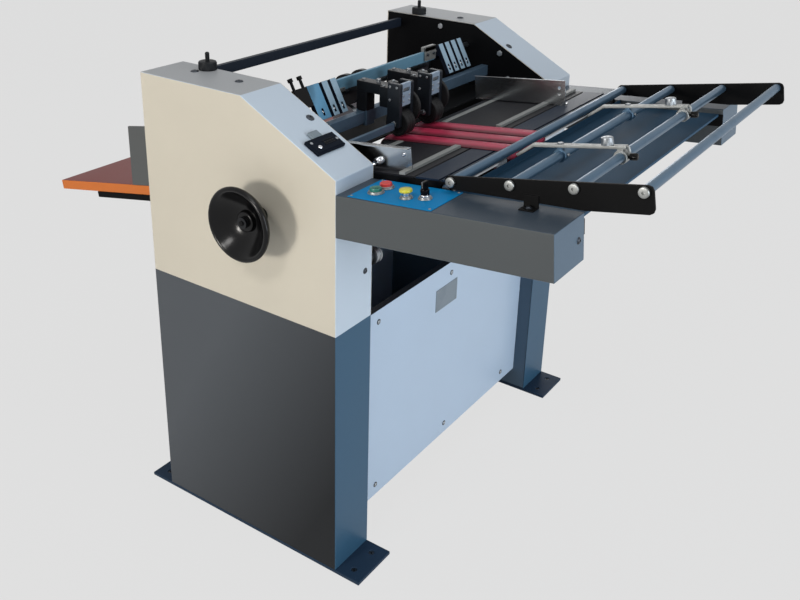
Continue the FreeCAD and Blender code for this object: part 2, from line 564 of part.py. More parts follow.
tableHalf = f"({inner} - tableSideGap)"
drumSlot = "(sqrt(feedRollerRadius^2 - (feedRollerRadius - tableThick)^2) + rollerSlotGap)"
beltReach = "(feedRollerRadius + rubGap + feedBeltThick)"
beltSlot = f"(sqrt({beltReach}^2 - (feedRollerRadius - tableThick)^2) + rollerSlotGap)"
frontPlate = box((f"2 * {tableHalf}", f"rollerSpan - {drumSlot} - tableSplit - tableSplitGap", "tableThick"),
                 (f"-{tableHalf}", f"{drumSlot} - rollerSpan", "-tableThick"))
middlePlate = box((f"2 * {tableHalf}", f"tableSplit - {drumSlot}", "tableThick"),
                  (f"-{tableHalf}", "-tableSplit", "-tableThick"))
rearPlate = box((f"2 * {tableHalf}", f"tableRear - {beltSlot}", "tableThick"),
                (f"-{tableHalf}", beltSlot, "-tableThick"))
beltEdge = "(feedBeltX - feedBeltPitch - feedBeltWide / 2 - drumOver)"
farBeltEdge = "(feedBeltX + feedBeltPitch + feedBeltWide / 2 + drumOver)"
nearSpan = (f"{tableHalf} + {beltEdge}", f"-{tableHalf}")
farSpan = (f"{tableHalf} - {farBeltEdge}", farBeltEdge)
lipStart = f"({drumSlot} - rollerSpan - lipGap - lipLong)"
tableParts = [frontPlate, middlePlate, rearPlate]
stripParts = []
for wide, start in (nearSpan, farSpan):
    tableParts.append(box((wide, "lipLong", "tableThick"), (start, lipStart, "-tableThick")))
    stripParts.append(box((wide, "stripWide", "stripThick"), (start, "stripRear", "0")))
    stripParts.append(box((wide, "stripWide", "frontBarHigh"), (start, "frontBarAlong", "0")))
node(group(tableParts, tableFrame, "-tableTilt"), "feed_table")
node(group(stripParts, tableFrame, "-tableTilt"), "table_strips")


# ---- feed bar with its paper sensor arm, and the two separator heads
feedBar = box((f"2 * {inner}", "feedBarSize", "feedBarHigh"),
              (f"-{inner}", f"{front} + feedBarY - feedBarSize / 2", "feedBarZ - feedBarHigh / 2"))
sensorArm = box((f"sensorEnd + {inner}", "sensorThick", "sensorHigh"),
                (f"-{inner}", f"{front} + sensorY", "sensorZ"))
node(group([feedBar, sensorArm]), "feed_bar")


headFront = f"({front} + headFrontY)"
headWheelWide = "(headWide - 2 * cheekThick - 2 * rubGap)"


# A block clamped on the feed bar, with a slotted face plate and two cheeks that hold the wheel.
def separatorHead(centre):
    headSide = f"({centre} - headWide / 2)"
    plateFront = f"({headFront} + headPlateSet)"
    blockFront = f"({plateFront} + headPlateThick)"
    clampFront = f"({front} + feedBarY - feedBarSize / 2 - headWall)"
    clampLow = "(feedBarZ - feedBarHigh / 2 - headWall)"
    clampDeep = "(feedBarSize + 2 * headWall)"
    block = box(("headWide", "headBlockDeep", "headBlockHigh"), (headSide, blockFront, "headBlockZ"))
    bridgeSide = f"({centre} - headBridgeWide / 2)"
    bridge = box(("headBridgeWide", f"{clampFront} + {clampDeep} - {blockFront}", "headBridgeHigh"),
                 (bridgeSide, blockFront, "headBlockZ + headBlockHigh - headBridgeHigh"))
    clamp = box(("headBridgeWide", clampDeep, f"headBlockZ + headBlockHigh - {clampLow}"),
                (bridgeSide, clampFront, clampLow))
    barRoom = box(("headBridgeWide", "feedBarSize + 2 * rubGap", "feedBarHigh + 2 * rubGap"),
                  (bridgeSide, f"{clampFront} + headWall - rubGap", f"{clampLow} + headWall - rubGap"))
    plate = cut(box(("headWide - 2 * cheekThick", "headPlateThick", "headPlateHigh"),
                    (f"{headSide} + cheekThick", plateFront, "headTopZ - headPlateHigh")),
                [box(("headSlotWide", "headPlateThick", "headSlotHigh"),
                     (f"{centre} - headSlotWide / 2", plateFront, "headTopZ - headSlotDrop - headSlotHigh"))])
    parts = [cut(fuse([block, bridge, clamp]), [barRoom]), plate]
    cheekLow = f"({headWheelZ} - cheekUnder)"
    for start in (headSide, f"{headSide} + headWide - cheekThick"):
        parts.append(box(("cheekThick", "cheekDeep", f"headTopZ - {cheekLow}"), (start, headFront, cheekLow)))
    parts.append(cylinder("headAxleRadius", "headWide", (headSide, f"{front} + headWheelY", headWheelZ), "X"))
    discAt = (f"{headSide} + headWide", f"{front} + headDiscY", "frameHeight - headDiscDrop")
    parts.append(cylinder("headDiscRadius", "headDiscThick", discAt, "X"))
    for radius, along in (("headKnobRadius", "headScrewY"), ("screwRadius", "headScrewY + headScrewPitch")):
        parts.append(cylinder(radius, "headKnobHigh",
                              (centre, f"{front} + {along}", "headBlockZ + headBlockHigh")))
    return fuse(parts)


for name, centre in (("near", "nearHeadX"), ("far", "farHeadX")):
    node(separatorHead(centre), name + "_head")
    node(ring("headWheelRadius", "headAxleRadius + runningFit", headWheelWide,
              (f"{centre} - {headWheelWide} / 2", f"{front} + headWheelY", headWheelZ)), name + "_head_wheel")


# ---- side guides on the feed table
guideLow = "(stripThick + rubGap)"


# The notch in a guide's lower edge that clears the front bar.
def barNotch(start, wide):
    return box((wide, "stripWide + 2 * guideNotchGap", "frontBarHigh + rubGap"),
               (start, "frontBarAlong - guideNotchGap", "0"))


nearGuide = fuse([box(("guideThick", "nearGuideLong", "nearGuideHigh"),
                      ("nearGuideX", "nearGuideRear - nearGuideLong", guideLow)),
                  box(("guideFlange", "nearGuideLong", "guideThick"),
                      ("nearGuideX + guideThick - guideFlange", "nearGuideRear - nearGuideLong",
                       f"{guideLow} + nearGuideHigh - guideThick")),
                  cylinder("guideKnobRadius", "guideKnobLong",
                           ("nearGuideX - guideKnobLong", "guideKnobAlong", "guideKnobUp"), "X")])
nearGuide = cut(nearGuide, [barNotch("nearGuideX", "guideThick")])
node(group([nearGuide], tableFrame, "-tableTilt"), "near_side_guide")
farGuide = fuse([box(("guideThick", "farGuideLong", "farGuideHigh"),
                     ("farGuideX", "farGuideRear - farGuideLong", guideLow)),
                 box(("guideFlange", "farGuideLong", "guideThick"),
                     ("farGuideX", "farGuideRear - farGuideLong", guideLow))])
guideHoles = [barNotch("farGuideX", "guideFlange")]
for up in ("guideHoleUp", "guideHoleUp - guideHolePitch"):
    guideHoles.append(cylinder("guideHoleRadius", "guideThick",
                               ("farGuideX", "farGuideRear - farGuideLong + guideHoleAlong", up), "X"))
node(group([cut(farGuide, guideHoles)], tableFrame, "-tableTilt"), "far_side_guide")


# ---- arms in front of the frames, with the controls on the near one
def armOutline(reach, drop, inset="0"):
    return [(front, f"armTopZ - {inset} / cos(armTilt)"),
            (front, f"armTopZ - {drop} / cos(armTilt)"),
            (f"{front} - {reach} * cos(armTilt) - {drop} * sin(armTilt)",
             f"armTopZ + {reach} * sin(armTilt) - {drop} * cos(armTilt)"),
            (f"{front} - {reach} * cos(armTilt) - {inset} * sin(armTilt)",
             f"armTopZ + {reach} * sin(armTilt) - {inset} * cos(armTilt)")]


armShell = prism(armOutline("armLong", "armDeep"), "armWide", (f"-{outer}", "0", "0"))
armRoom = prism(armOutline("(armLong - sheetWall)", "(armDeep - sheetWall)", "sheetWall"),
                "armWide - 2 * sheetWall", (f"-{outer} + sheetWall", "0", "0"))
nearArm = node(cut(armShell, [armRoom]), "control_arm")
node(mirrored(nearArm), "far_arm")

controlPlate = box(("controlPlateWide", "controlPlateLong", "controlPlateThick"),
                   (f"-{outer} + (armWide - controlPlateWide) / 2",
                    "-controlPlateStart - controlPlateLong", "0"))
node(group([controlPlate], armFrame, "-armTilt"), "control_plate")

collars = []
for radius, inset, along in (("buttonRadius", "redIn", "buttonAlong"),
                             ("buttonRadius", "greenIn", "buttonAlong"),
                             ("stopStemRadius", "stopIn", "stopAlong"),
                             ("selectorRadius", "selectorIn", "selectorAlong")):
    collars.append(ring(f"{radius} + rubGap + collarWall", f"{radius} + rubGap", "collarHigh",
                        (f"-{outer} + {inset}", f"-{along}", "controlPlateThick"), "Z"))
node(group(collars, armFrame, "-armTilt"), "button_collars")

buttonLow = "(controlPlateThick + buttonTravel + rubGap)"
for name, inset in (("red_button", "redIn"), ("green_button", "greenIn")):
    node(group([cylinder("buttonRadius", "buttonHigh", (f"-{outer} + {inset}", "-buttonAlong", buttonLow))],
               armFrame, "-armTilt"), name)
stopAt = (f"-{outer} + stopIn", "-stopAlong")
node(group([fuse([cylinder("stopStemRadius", "stopStemHigh", stopAt + (buttonLow,)),
                  cylinder("stopRadius", "stopCapHigh", stopAt + (f"{buttonLow} + stopStemHigh",))])],
           armFrame, "-armTilt"), "stop_button")
selectorAt = (f"-{outer} + selectorIn", "-selectorAlong")
selectorGrip = box(("2 * selectorRadius", "selectorGripThick", "selectorGripHigh"),
                   (f"-{outer} + selectorIn - selectorRadius", "-selectorAlong - selectorGripThick / 2",
                    "controlPlateThick + rubGap + selectorHigh"))
node(group([fuse([cylinder("selectorRadius", "selectorHigh", selectorAt + ("controlPlateThick + rubGap",)),
                  selectorGrip])], armFrame, "-armTilt"), "selector_switch")

slopeFrame = ("0", f"{front} + slopeRun", "frameHeight")
counterBody = box(("counterWide", "counterLong", "counterHigh"),
                  (f"-{outer} + counterIn", "-counterAlong - counterLong", "0"))
counterTab = box(("counterTabWide", "counterTabLong", "counterHigh"),
                 (f"-{outer} + counterTabIn", "-counterAlong", "0"))
node(group([fuse([counterBody, counterTab])], slopeFrame, slopeAngle), "counter")


# ---- tray of four rods in front of the table
trayFrame = ("0", f"{front} + trayY", "trayZ")
trayOuter = f"({armInner} + trayPlateOver)"
trayInner = f"({trayOuter} - trayPlateThick)"
rods = []
nuts = []
for count in range(4):
    rodAlong = f"-{count} * rodPitch"
    rods.append(cylinder("rodRadius", f"2 * {trayInner}", (f"-{trayInner}", rodAlong, "0"), "X"))
    nuts.append(cylinder("nutRadius", "nutThick", (f"-{trayOuter} - nutThick", rodAlong, "0"), "X"))
    nuts.append(cylinder("nutRadius", "nutThick", (trayOuter, rodAlong, "0"), "X"))
node(group(rods, trayFrame, "-trayTilt"), "tray_rods")
node(group(nuts, trayFrame, "-trayTilt"), "rod_nuts")

trayReach = "(3 * rodPitch + trayPlateEnd)"
bevel = "(trayCorner * 0.3)"
trayOutline = [("trayHeel", "-trayHeel / 2"), ("trayHeel", "trayPlateTop / 2"),
               ("trayHeel / 2", "trayPlateTop"),
               (f"trayCorner - {trayReach}", "trayPlateTop"),
               (f"{bevel} - {trayReach}", f"trayPlateTop - {bevel}"),
               (f"-{trayReach}", "trayPlateTop - trayCorner"),
               (f"-{trayReach}", "trayCorner - trayPlateBottom"),
               (f"{bevel} - {trayReach}", f"{bevel} - trayPlateBottom"),
               (f"trayCorner - {trayReach}", "-trayPlateBottom"),
               ("-trayBend", "-trayPlateBottom"), ("trayHeel / 2", "-trayHeel")]
footEnd = "(-trayFootAlong - trayFootWide / 2)"
nearPlate = (f"-{trayOuter}", f"-{trayOuter} - trayFootReach", f"-{trayOuter} - trayFootThick")
trayPlates = []
for plateStart, footX, legX in (nearPlate, (trayInner, trayOuter, trayOuter)):
    plate = group([prism(trayOutline, "trayPlateThick", (plateStart, "0", "0"))], trayFrame, "-trayTilt")
    foot = fuse([box(("trayFootReach", "trayFootWide", "trayFootThick"), (footX, footEnd, "0")),
                 box(("trayFootThick", "trayFootWide", "trayFootHigh"), (legX, footEnd, "0"))])
    trayPlates.append(fuse([plate, group([foot], armFrame, "-armTilt")]))
node(group(trayPlates), "tray_side_plates")

flangeLow = "-panDrop - panFlange"
panParts = [box((f"2 * {armInner}", "panEnd - panStart", "panThick"),
                (f"-{armInner}", "-panEnd", "-panDrop - panThick")),
            box((f"2 * {armInner}", "panThick", "panLip"), (f"-{armInner}", "-panEnd", "-panDrop - panLip")),
            box((f"2 * {armInner}", "panThick", "panRearLip"),
                (f"-{armInner}", "-panStart - panThick", "-panDrop"))]
for panSide in (f"-{armInner}", f"{armInner} - panThick"):
    panParts.append(box(("panThick", "armLong - panStart", "panFlange"), (panSide, "-armLong", flangeLow)))
node(group([fuse(panParts)], armFrame, "-armTilt"), "tray_pan")


def backStop(centre):
    thirdRod = "(-2 * rodPitch)"
    secondRod = "(-rodPitch)"
    barLow = "stopBarUp"
    barTop = "(stopBarUp + stopBarThick)"
    bend = f"({thirdRod} + stopBarRear)"
    bar = prism([(f"{thirdRod} - stopBarFront", barLow), (bend, barLow),
                 (f"{bend} + stopTipLong", f"{barLow} - stopTipDrop"),
                 (f"{bend} + stopTipLong + stopBarThick / 2", f"{barTop} - stopTipDrop"),
                 (f"{bend} + stopBarThick / 2", barTop), (f"{thirdRod} - stopBarFront", barTop)],
                "stopBarWide", (f"{centre} - stopBarWide / 2", "0", "0"))
    parts = [bar]
    for rod in (thirdRod, secondRod):
        collarAt = (f"{centre} - stopCollarWide / 2", rod, "0")
        clamp = fuse([cylinder("stopCollarRadius", "stopCollarWide", collarAt, "X"),
                      box(("stopPostSize", "stopPostSize", barLow),
                          (f"{centre} - stopPostSize / 2", f"{rod} - stopPostSize / 2", "0"))])
        parts.append(cut(clamp, [cylinder("rodRadius + rubGap", "stopCollarWide", collarAt, "X")]))
    parts.append(cylinder("thumbRadius", "thumbHigh", (centre, f"{thirdRod} + thumbAlong", barTop)))
    parts.append(cylinder("endKnobRadius", "endKnobLong",
                          (centre, f"{thirdRod} - stopCollarRadius - endKnobLong + stopBarThick", "0"), "Y"))
    return group([fuse(parts)], trayFrame, "-trayTilt")


node(backStop("nearStopX"), "near_back_stop")
node(backStop("farStopX"), "far_back_stop")


# ---- fingers on their shaft
fingerAt = (f"{front} + fingerShaftY", "fingerShaftZ")
node(cylinder("fingerShaftRadius", f"2 * {inner}", (f"-{inner}",) + fingerAt, "X"), "finger_shaft")
fingerBarY = f"{front} + fingerShaftY - fingerShaftRadius - fingerBarThick"
node(box(("2 * fingerBarHalf", "fingerBarThick", "fingerBarHigh"),
         ("-fingerBarHalf", fingerBarY, "fingerBarZ")), "finger_bar")


def finger(start, wide):
    blade = box((wide, "fingerThick", "fingerLong"), (start, "-fingerFace", "fingerAbove - fingerLong"))
    slot = box(("fingerSlotWide", "fingerThick", "fingerSlotHigh"),
               (f"{start} + {wide} / 2 - fingerSlotWide / 2", "-fingerFace",
                "fingerAbove - fingerLong + fingerSlotUp"))
    hub = cylinder("fingerHubRadius", wide, (start, "0", "0"), "X")
    lug = box((wide, "fingerFace - fingerThick", "fingerLugHigh"),
              (start, "fingerThick - fingerFace", "-fingerLugHigh / 2"))
    bore = cylinder("fingerShaftRadius + rubGap", wide, (start, "0", "0"), "X")
    return cut(fuse([cut(blade, [slot]), hub, lug]), [bore])


nearFingers = [finger("nearFingerX", "wideFinger")]
for count in range(2):
    fingerStart = f"nearFingerX + wideFinger + fingerGap + {count} * (fingerWide + fingerGap)"
    nearFingers.append(finger(fingerStart, "fingerWide"))
pinPlate = box(("pinPlateWide", "pinPlateThick", "pinPlateHigh"),
               ("nearFingerX - pinPlateWide", "-fingerFace", "fingerAbove - pinPlateHigh"))
pinParts = [pinPlate]
for count in range(2):
    pinAt = (f"nearFingerX - pinPlateThick - {count} * pinPitch", "pinPlateThick / 2 - fingerFace")
    pinParts.append(cylinder("pinRadius", "pinLong", pinAt + ("fingerAbove",)))
    pinParts.append(cylinder("pinHeadRadius", "pinHeadHigh", pinAt + ("fingerAbove + pinLong",)))
nearFingers.append(fuse(pinParts))
node(group(nearFingers, ("0",) + fingerAt, "-fingerLean"), "near_fingers")
farFingers = []
for count in range(4):
    farFingers.append(finger(f"farFingerX + {count} * (fingerWide + fingerGap)", "fingerWide"))
node(group(farFingers, ("0",) + fingerAt, "-fingerLean"), "far_fingers")


# ---- pressure knobs on the covers
for name, across in (("near", f"-{outer} + knobInset"), ("far", f"{outer} - knobInset")):
    knobAt = (across, f"{front} + knobY")
    stem = cylinder("knobStemRadius", "knobStemIn + knobStemOut", knobAt + ("frameHeight - knobStemIn",))
    knob = cylinder("knobRadius", "knobHigh", knobAt + ("frameHeight + rubGap",))
    node(fuse([stem, knob]), name + "_pressure_knob")


# ---- delivery board behind the creasing shafts
boardFrame = ("0", f"{front} + boardY", "boardZ")
boardHalf = f"({inner} - boardGap)"
node(group([box((f"2 * {boardHalf}", "boardLong", "boardThick"), (f"-{boardHalf}", "0", "-boardThick"))],
           boardFrame, "-boardTilt"), "delivery_board")
wingOutline = [("wingStart", "0"), ("wingEnd", "0"), ("wingEnd - wingHigh * tan(boardTilt)", "wingHigh"),
               ("wingStart", "wingHigh")]
bracketParts = [prism(wingOutline, "plateThick", (f"-{inner}", "0", "0"))]
for bracketX in (f"-{inner}", f"{inner} - boardBracketWide"):
    bracketParts.append(box(("boardBracketWide", "boardBracketStart + boardBracketEnd", "boardBracketDeep"),
                            (bracketX, "-boardBracketStart", "-boardThick - boardBracketDeep")))
node(group(bracketParts, boardFrame, "-boardTilt"), "delivery_brackets")


# ---- screws on the covers, inner plates, panels and arms
def screw(at, along="Z", radius="screwRadius"):
    return cylinder(radius, "screwHigh", at, along)


screws = []
for side in ("-1", "1"):
    topX = f"{side} * ({outer} - coverScrewInset)"
    for along in ("topScrewFront", "topScrewRear"):
        screws.append(screw((topX, f"{front} + {along}", "frameHeight"), "Z", "coverScrewRadius"))
    slopeScrew = screw((f"{side} * ({inner} + screwInset)", "-slopeScrewAlong", "0"), "Z", "coverScrewRadius")
    screws.append(group([slopeScrew], slopeFrame, slopeAngle))
    coverScrewAt = (f"{side} * ({inner} + screwInset)", f"{front} - screwHigh", "coverBottom + coverScrewUp")
    screws.append(screw(coverScrewAt, "Y"))
    armScrews = [screw((f"{side} * ({armInner} + screwInset)", "-armLong - screwHigh", "-armScrewDrop"), "Y"),
                 screw((f"{side} * ({trayOuter} + trayFootReach / 2)", "-trayFootAlong", "trayFootThick"))]
    screws.append(group(armScrews, armFrame, "-armTilt"))
for across in ("-panelScrewX", "0", "panelScrewX"):
    for up in ("panelBottom + panelScrewInset", "panelTop - panelScrewInset"):
        screws.append(screw((across, f"{front} + panelRecess - screwHigh", up), "Y"))
        screws.append(screw((across, f"{rear} - panelRecess", up), "Y"))
node(group(screws), "casing_screws")

doc.recompute()
for part in doc.Objects:
    if "Invalid" in part.State or "Error" in part.State:
        raise ValueError(part.Label + " failed to build")
os.makedirs("parts", exist_ok=True)
for part in nodes:
    if part.Shape.isNull() or not part.Shape.isValid():
        raise ValueError(part.Label + " has no valid shape")
    part.Shape.exportStep("parts/" + part.Label + ".step")
print(len(nodes), "nodes")
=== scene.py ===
import json
import math
import bmesh
import bpy
from mathutils import Matrix, Vector

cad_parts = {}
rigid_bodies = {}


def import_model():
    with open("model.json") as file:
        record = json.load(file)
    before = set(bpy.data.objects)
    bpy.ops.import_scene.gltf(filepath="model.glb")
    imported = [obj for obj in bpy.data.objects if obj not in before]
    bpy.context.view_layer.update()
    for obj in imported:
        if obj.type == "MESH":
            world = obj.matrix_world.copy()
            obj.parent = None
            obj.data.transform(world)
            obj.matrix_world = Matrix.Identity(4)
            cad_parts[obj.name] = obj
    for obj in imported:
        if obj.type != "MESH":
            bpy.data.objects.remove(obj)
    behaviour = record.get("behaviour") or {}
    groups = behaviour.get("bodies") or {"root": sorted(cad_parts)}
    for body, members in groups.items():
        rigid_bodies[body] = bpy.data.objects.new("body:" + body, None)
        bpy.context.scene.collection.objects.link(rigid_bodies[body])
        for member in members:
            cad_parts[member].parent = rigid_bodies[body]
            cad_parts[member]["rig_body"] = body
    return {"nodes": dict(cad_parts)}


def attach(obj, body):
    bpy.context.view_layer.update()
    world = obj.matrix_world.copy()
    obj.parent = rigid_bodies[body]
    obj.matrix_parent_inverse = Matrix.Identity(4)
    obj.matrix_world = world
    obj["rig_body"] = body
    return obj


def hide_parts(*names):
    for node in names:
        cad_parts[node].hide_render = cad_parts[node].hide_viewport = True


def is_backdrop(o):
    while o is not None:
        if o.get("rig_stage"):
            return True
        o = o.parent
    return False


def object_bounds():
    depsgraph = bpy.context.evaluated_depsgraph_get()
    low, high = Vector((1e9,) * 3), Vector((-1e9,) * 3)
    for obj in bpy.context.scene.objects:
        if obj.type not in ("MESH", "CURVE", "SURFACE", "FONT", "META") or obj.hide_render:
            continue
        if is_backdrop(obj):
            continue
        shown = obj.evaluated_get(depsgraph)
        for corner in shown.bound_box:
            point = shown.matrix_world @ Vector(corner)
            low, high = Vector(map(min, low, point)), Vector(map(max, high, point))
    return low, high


for stray in list(bpy.data.objects):
    bpy.data.objects.remove(stray, do_unlink=True)
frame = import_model()
nodes = frame["nodes"]
cadBox = [list(corner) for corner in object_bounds()]
print("frame loaded:", len(nodes), "nodes")


# ---- camera, light and floor

cameraView = {
    "place": (-1.860383, -1.301100, 1.600805),
    "right": (0.562725, -0.826196, 0.027112),
    "up": (0.299015, 0.234017, 0.925109),
    "lens": 42.857,
    "shift": -0.11875,  # the picture's centre lies under the lens axis
}
studio = {
    "background": (0.753, 0.753, 0.753),
    "worldStrength": 0.27,
    "floorSize": 60.0,
    "floorGlow": 0.95,  # share of the floor that is plain background
    "floorTone": (0.70, 0.70, 0.70),
    "skyColour": (0.93, 0.965, 1.0),
    "lamps": [  # place, aimed at, size, watts, colour
        ((-3.4, 0.35, 1.15), (-0.5, 0, 0.8), 0.5, 42, (1.0, 0.965, 0.91)),
        ((-2.7, -0.55, 2.9), (0, 0, 0.8), 0.6, 20, (1.0, 0.98, 0.96)),
        ((-0.3, -3.8, 1.35), (0, 0, 0.7), 2.4, 88, (0.86, 0.935, 1.0)),
        ((-0.6, -0.8, 4.2), (0, 0, 0.9), 2.4, 22, (0.97, 0.985, 1.0)),
        ((3.3, 1.5, 0.8), (0, 0, 0.6), 1.6, 26, (1.0, 1.0, 1.0)),
    ],
}


def addCamera():
    camera = bpy.data.objects.new("camera", bpy.data.cameras.new("camera"))
    bpy.context.scene.collection.objects.link(camera)
    right = Vector(cameraView["right"]).normalized()
    up = Vector(cameraView["up"])
    up = (up - right * up.dot(right)).normalized()
    back = right.cross(up)
    turn = Matrix((right, up, back)).transposed()
    camera.matrix_world = Matrix.Translation(cameraView["place"]) @ turn.to_4x4()
    camera.data.lens = cameraView["lens"]
    camera.data.sensor_width = 36
    camera.data.shift_y = cameraView["shift"]
    camera.data.clip_end = 100
    bpy.context.scene.camera = camera


def addLamps():
    for index, (place, aim, size, watts, colour) in enumerate(studio["lamps"]):
        lamp = bpy.data.lights.new("softbox%d" % index, "AREA")
        lamp.shape = "SQUARE"
        lamp.size = size
        lamp.energy = watts
        lamp.color = colour
        holder = bpy.data.objects.new(lamp.name, lamp)
        bpy.context.scene.collection.objects.link(holder)
        holder.location = place
        holder.rotation_euler = (Vector(aim) - Vector(place)).to_track_quat("-Z", "Y").to_euler()


def backdropShare(tree):
    # 1 where a ray sees the plain background: straight, in polished metal and through glass
    path = tree.nodes.new("ShaderNodeLightPath")
    share = path.outputs["Is Camera Ray"]
    for ray in ("Is Glossy Ray", "Is Transmission Ray"):
        either = tree.nodes.new("ShaderNodeMath")
        either.operation = "MAXIMUM"
        tree.links.new(share, either.inputs[0])
        tree.links.new(path.outputs[ray], either.inputs[1])
        share = either.outputs[0]
    return share


def addWorld():
    world = bpy.data.worlds.new("studioRoom")
    bpy.context.scene.world = world
    world.use_nodes = True
    tree = world.node_tree
    tree.nodes.clear()
    seen = tree.nodes.new("ShaderNodeBackground")
    light = tree.nodes.new("ShaderNodeBackground")
    mix = tree.nodes.new("ShaderNodeMixShader")
    output = tree.nodes.new("ShaderNodeOutputWorld")
    seen.inputs["Color"].default_value = studio["background"] + (1,)
    light.inputs["Color"].default_value = studio["skyColour"] + (1,)
    light.inputs["Strength"].default_value = studio["worldStrength"]
    tree.links.new(backdropShare(tree), mix.inputs["Fac"])
    tree.links.new(light.outputs[0], mix.inputs[1])
    tree.links.new(seen.outputs[0], mix.inputs[2])
    tree.links.new(mix.outputs[0], output.inputs["Surface"])


def addFloor():
    half = studio["floorSize"] / 2
    mesh = bpy.data.meshes.new("studioFloor")
    corners = [(-half, -half, 0), (half, -half, 0), (half, half, 0), (-half, half, 0)]
    mesh.from_pydata(corners, [], [(0, 1, 2, 3)])
    ground = bpy.data.objects.new("studioFloor", mesh)
    bpy.context.scene.collection.objects.link(ground)
    material = bpy.data.materials.new("studioFloor")
    material.use_nodes = True
    tree = material.node_tree
    tree.nodes.clear()
    matt = tree.nodes.new("ShaderNodeBsdfDiffuse")
    glow = tree.nodes.new("ShaderNodeEmission")
    share = tree.nodes.new("ShaderNodeMath")
    share.operation = "MULTIPLY"
    share.inputs[1].default_value = studio["floorGlow"]
    mix = tree.nodes.new("ShaderNodeMixShader")
    output = tree.nodes.new("ShaderNodeOutputMaterial")
    matt.inputs["Color"].default_value = studio["floorTone"] + (1,)
    glow.inputs["Color"].default_value = studio["background"] + (1,)
    tree.links.new(backdropShare(tree), share.inputs[0])
    tree.links.new(share.outputs[0], mix.inputs["Fac"])
    tree.links.new(matt.outputs[0], mix.inputs[1])
    tree.links.new(glow.outputs[0], mix.inputs[2])
    tree.links.new(mix.outputs[0], output.inputs["Surface"])
    mesh.materials.append(material)
    ground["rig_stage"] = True


addCamera()
addLamps()
addWorld()
addFloor()
bpy.context.scene.view_settings.view_transform = "Standard"
print("camera, lamps and floor placed")


# ---- finishes

class Signal:
    # one shader socket, so that maths on it reads as an expression

    def __init__(self, look, socket):
        self.look = look
        self.socket = socket

    def join(self, operation, first, second):
        return self.look.add("ShaderNodeMath", {"operation": operation}, {0: first, 1: second})

    def __add__(self, other):
        return self.join("ADD", self, other)

    def __radd__(self, other):
        return self.join("ADD", other, self)

    def __sub__(self, other):
        return self.join("SUBTRACT", self, other)

    def __rsub__(self, other):
        return self.join("SUBTRACT", other, self)

    def __mul__(self, other):
        return self.join("MULTIPLY", self, other)

    def __rmul__(self, other):
        return self.join("MULTIPLY", other, self)


class Look:
    # a material whose principled shader is fed by signals

    def __init__(self, name, colour, roughness, metallic=0.0, coat=0.0, specular=0.5):
        self.material = bpy.data.materials.new(name)
        self.material.use_nodes = True
        self.tree = self.material.node_tree
        self.tree.nodes.clear()
        self.shader = self.tree.nodes.new("ShaderNodeBsdfPrincipled")
        output = self.tree.nodes.new("ShaderNodeOutputMaterial")
        self.tree.links.new(self.shader.outputs[0], output.inputs["Surface"])
        self.colour = colour + (1,)
        self.put("Base Color", self.colour)
        self.put("Roughness", roughness)
        self.put("Metallic", metallic)
        self.put("Coat Weight", coat)
        self.put("Coat Roughness", wear["coatRoughness"])
        self.put("Specular IOR Level", specular)
        self.spot = self.add("ShaderNodeTexCoord", {}, {}, "Object")

    def add(self, kind, settings, sockets, output=0):
        node = self.tree.nodes.new(kind)
        for name, value in settings.items():
            setattr(node, name, value)
        for name, value in sockets.items():
            self.connect(node.inputs[name], value)
        return Signal(self, node.outputs[output])

    def connect(self, socket, value):
        if isinstance(value, Signal):
            self.tree.links.new(value.socket, socket)
        else:
            socket.default_value = value

    def put(self, name, value):
        self.connect(self.shader.inputs[name], value)

    def noise(self, scale, detail=3.0, rough=0.55, spot=None):
        sockets = {"Vector": spot or self.spot, "Scale": scale, "Detail": detail, "Roughness": rough}
        return self.add("ShaderNodeTexNoise", {}, sockets)

    def stretched(self, factors):
        return self.add("ShaderNodeVectorMath", {"operation": "MULTIPLY"}, {0: self.spot, 1: factors})

    def ramp(self, signal, low, high):
        return self.add("ShaderNodeMapRange", {"clamp": True}, {"Value": signal, "From Min": low, "From Max": high})

    def mixed(self, share, first, second):
        # a mix node's colour sockets are numbers 6 and 7, and its colour comes out of number 2
        return self.add("ShaderNodeMix", {"data_type": "RGBA"}, {"Factor": share, 6: first, 7: second}, 2)

    def shade(self, factor):
        return tuple(min(1.0, part * factor) for part in self.colour[:3]) + (1,)

    def edges(self, radius):
        # how near an outside edge is, from 0 on a flat face to 1 on the edge
        rounded = self.add("ShaderNodeBevel", {"samples": 4}, {"Radius": radius})
        plain = self.add("ShaderNodeNewGeometry", {}, {}, "Normal")
        match = self.add("ShaderNodeVectorMath", {"operation": "DOT_PRODUCT"}, {0: rounded, 1: plain}, "Value")
        return self.ramp(1 - match, 0.02, 0.22)

    def bump(self, height, distance, strength=1.0):
        sockets = {"Height": height, "Distance": distance, "Strength": strength}
        self.put("Normal", self.add("ShaderNodeBump", {}, sockets))


def colour(red, green, blue):
    # a colour read from a screen, 0 to 255, as the linear light the shader takes
    parts = []
    for part in (red, green, blue):
        share = part / 255
        parts.append(share / 12.92 if share <= 0.04045 else ((share + 0.055) / 1.055) ** 2.4)
    return tuple(parts)


wear = {"paintEdge": 0.0022, "paintRub": 0.35, "clouds": 0.06, "peel": 0.00035,
        "plasticEdge": 0.0012, "plasticRub": 0.25, "grain": 0.0001, "coatRoughness": 0.12}


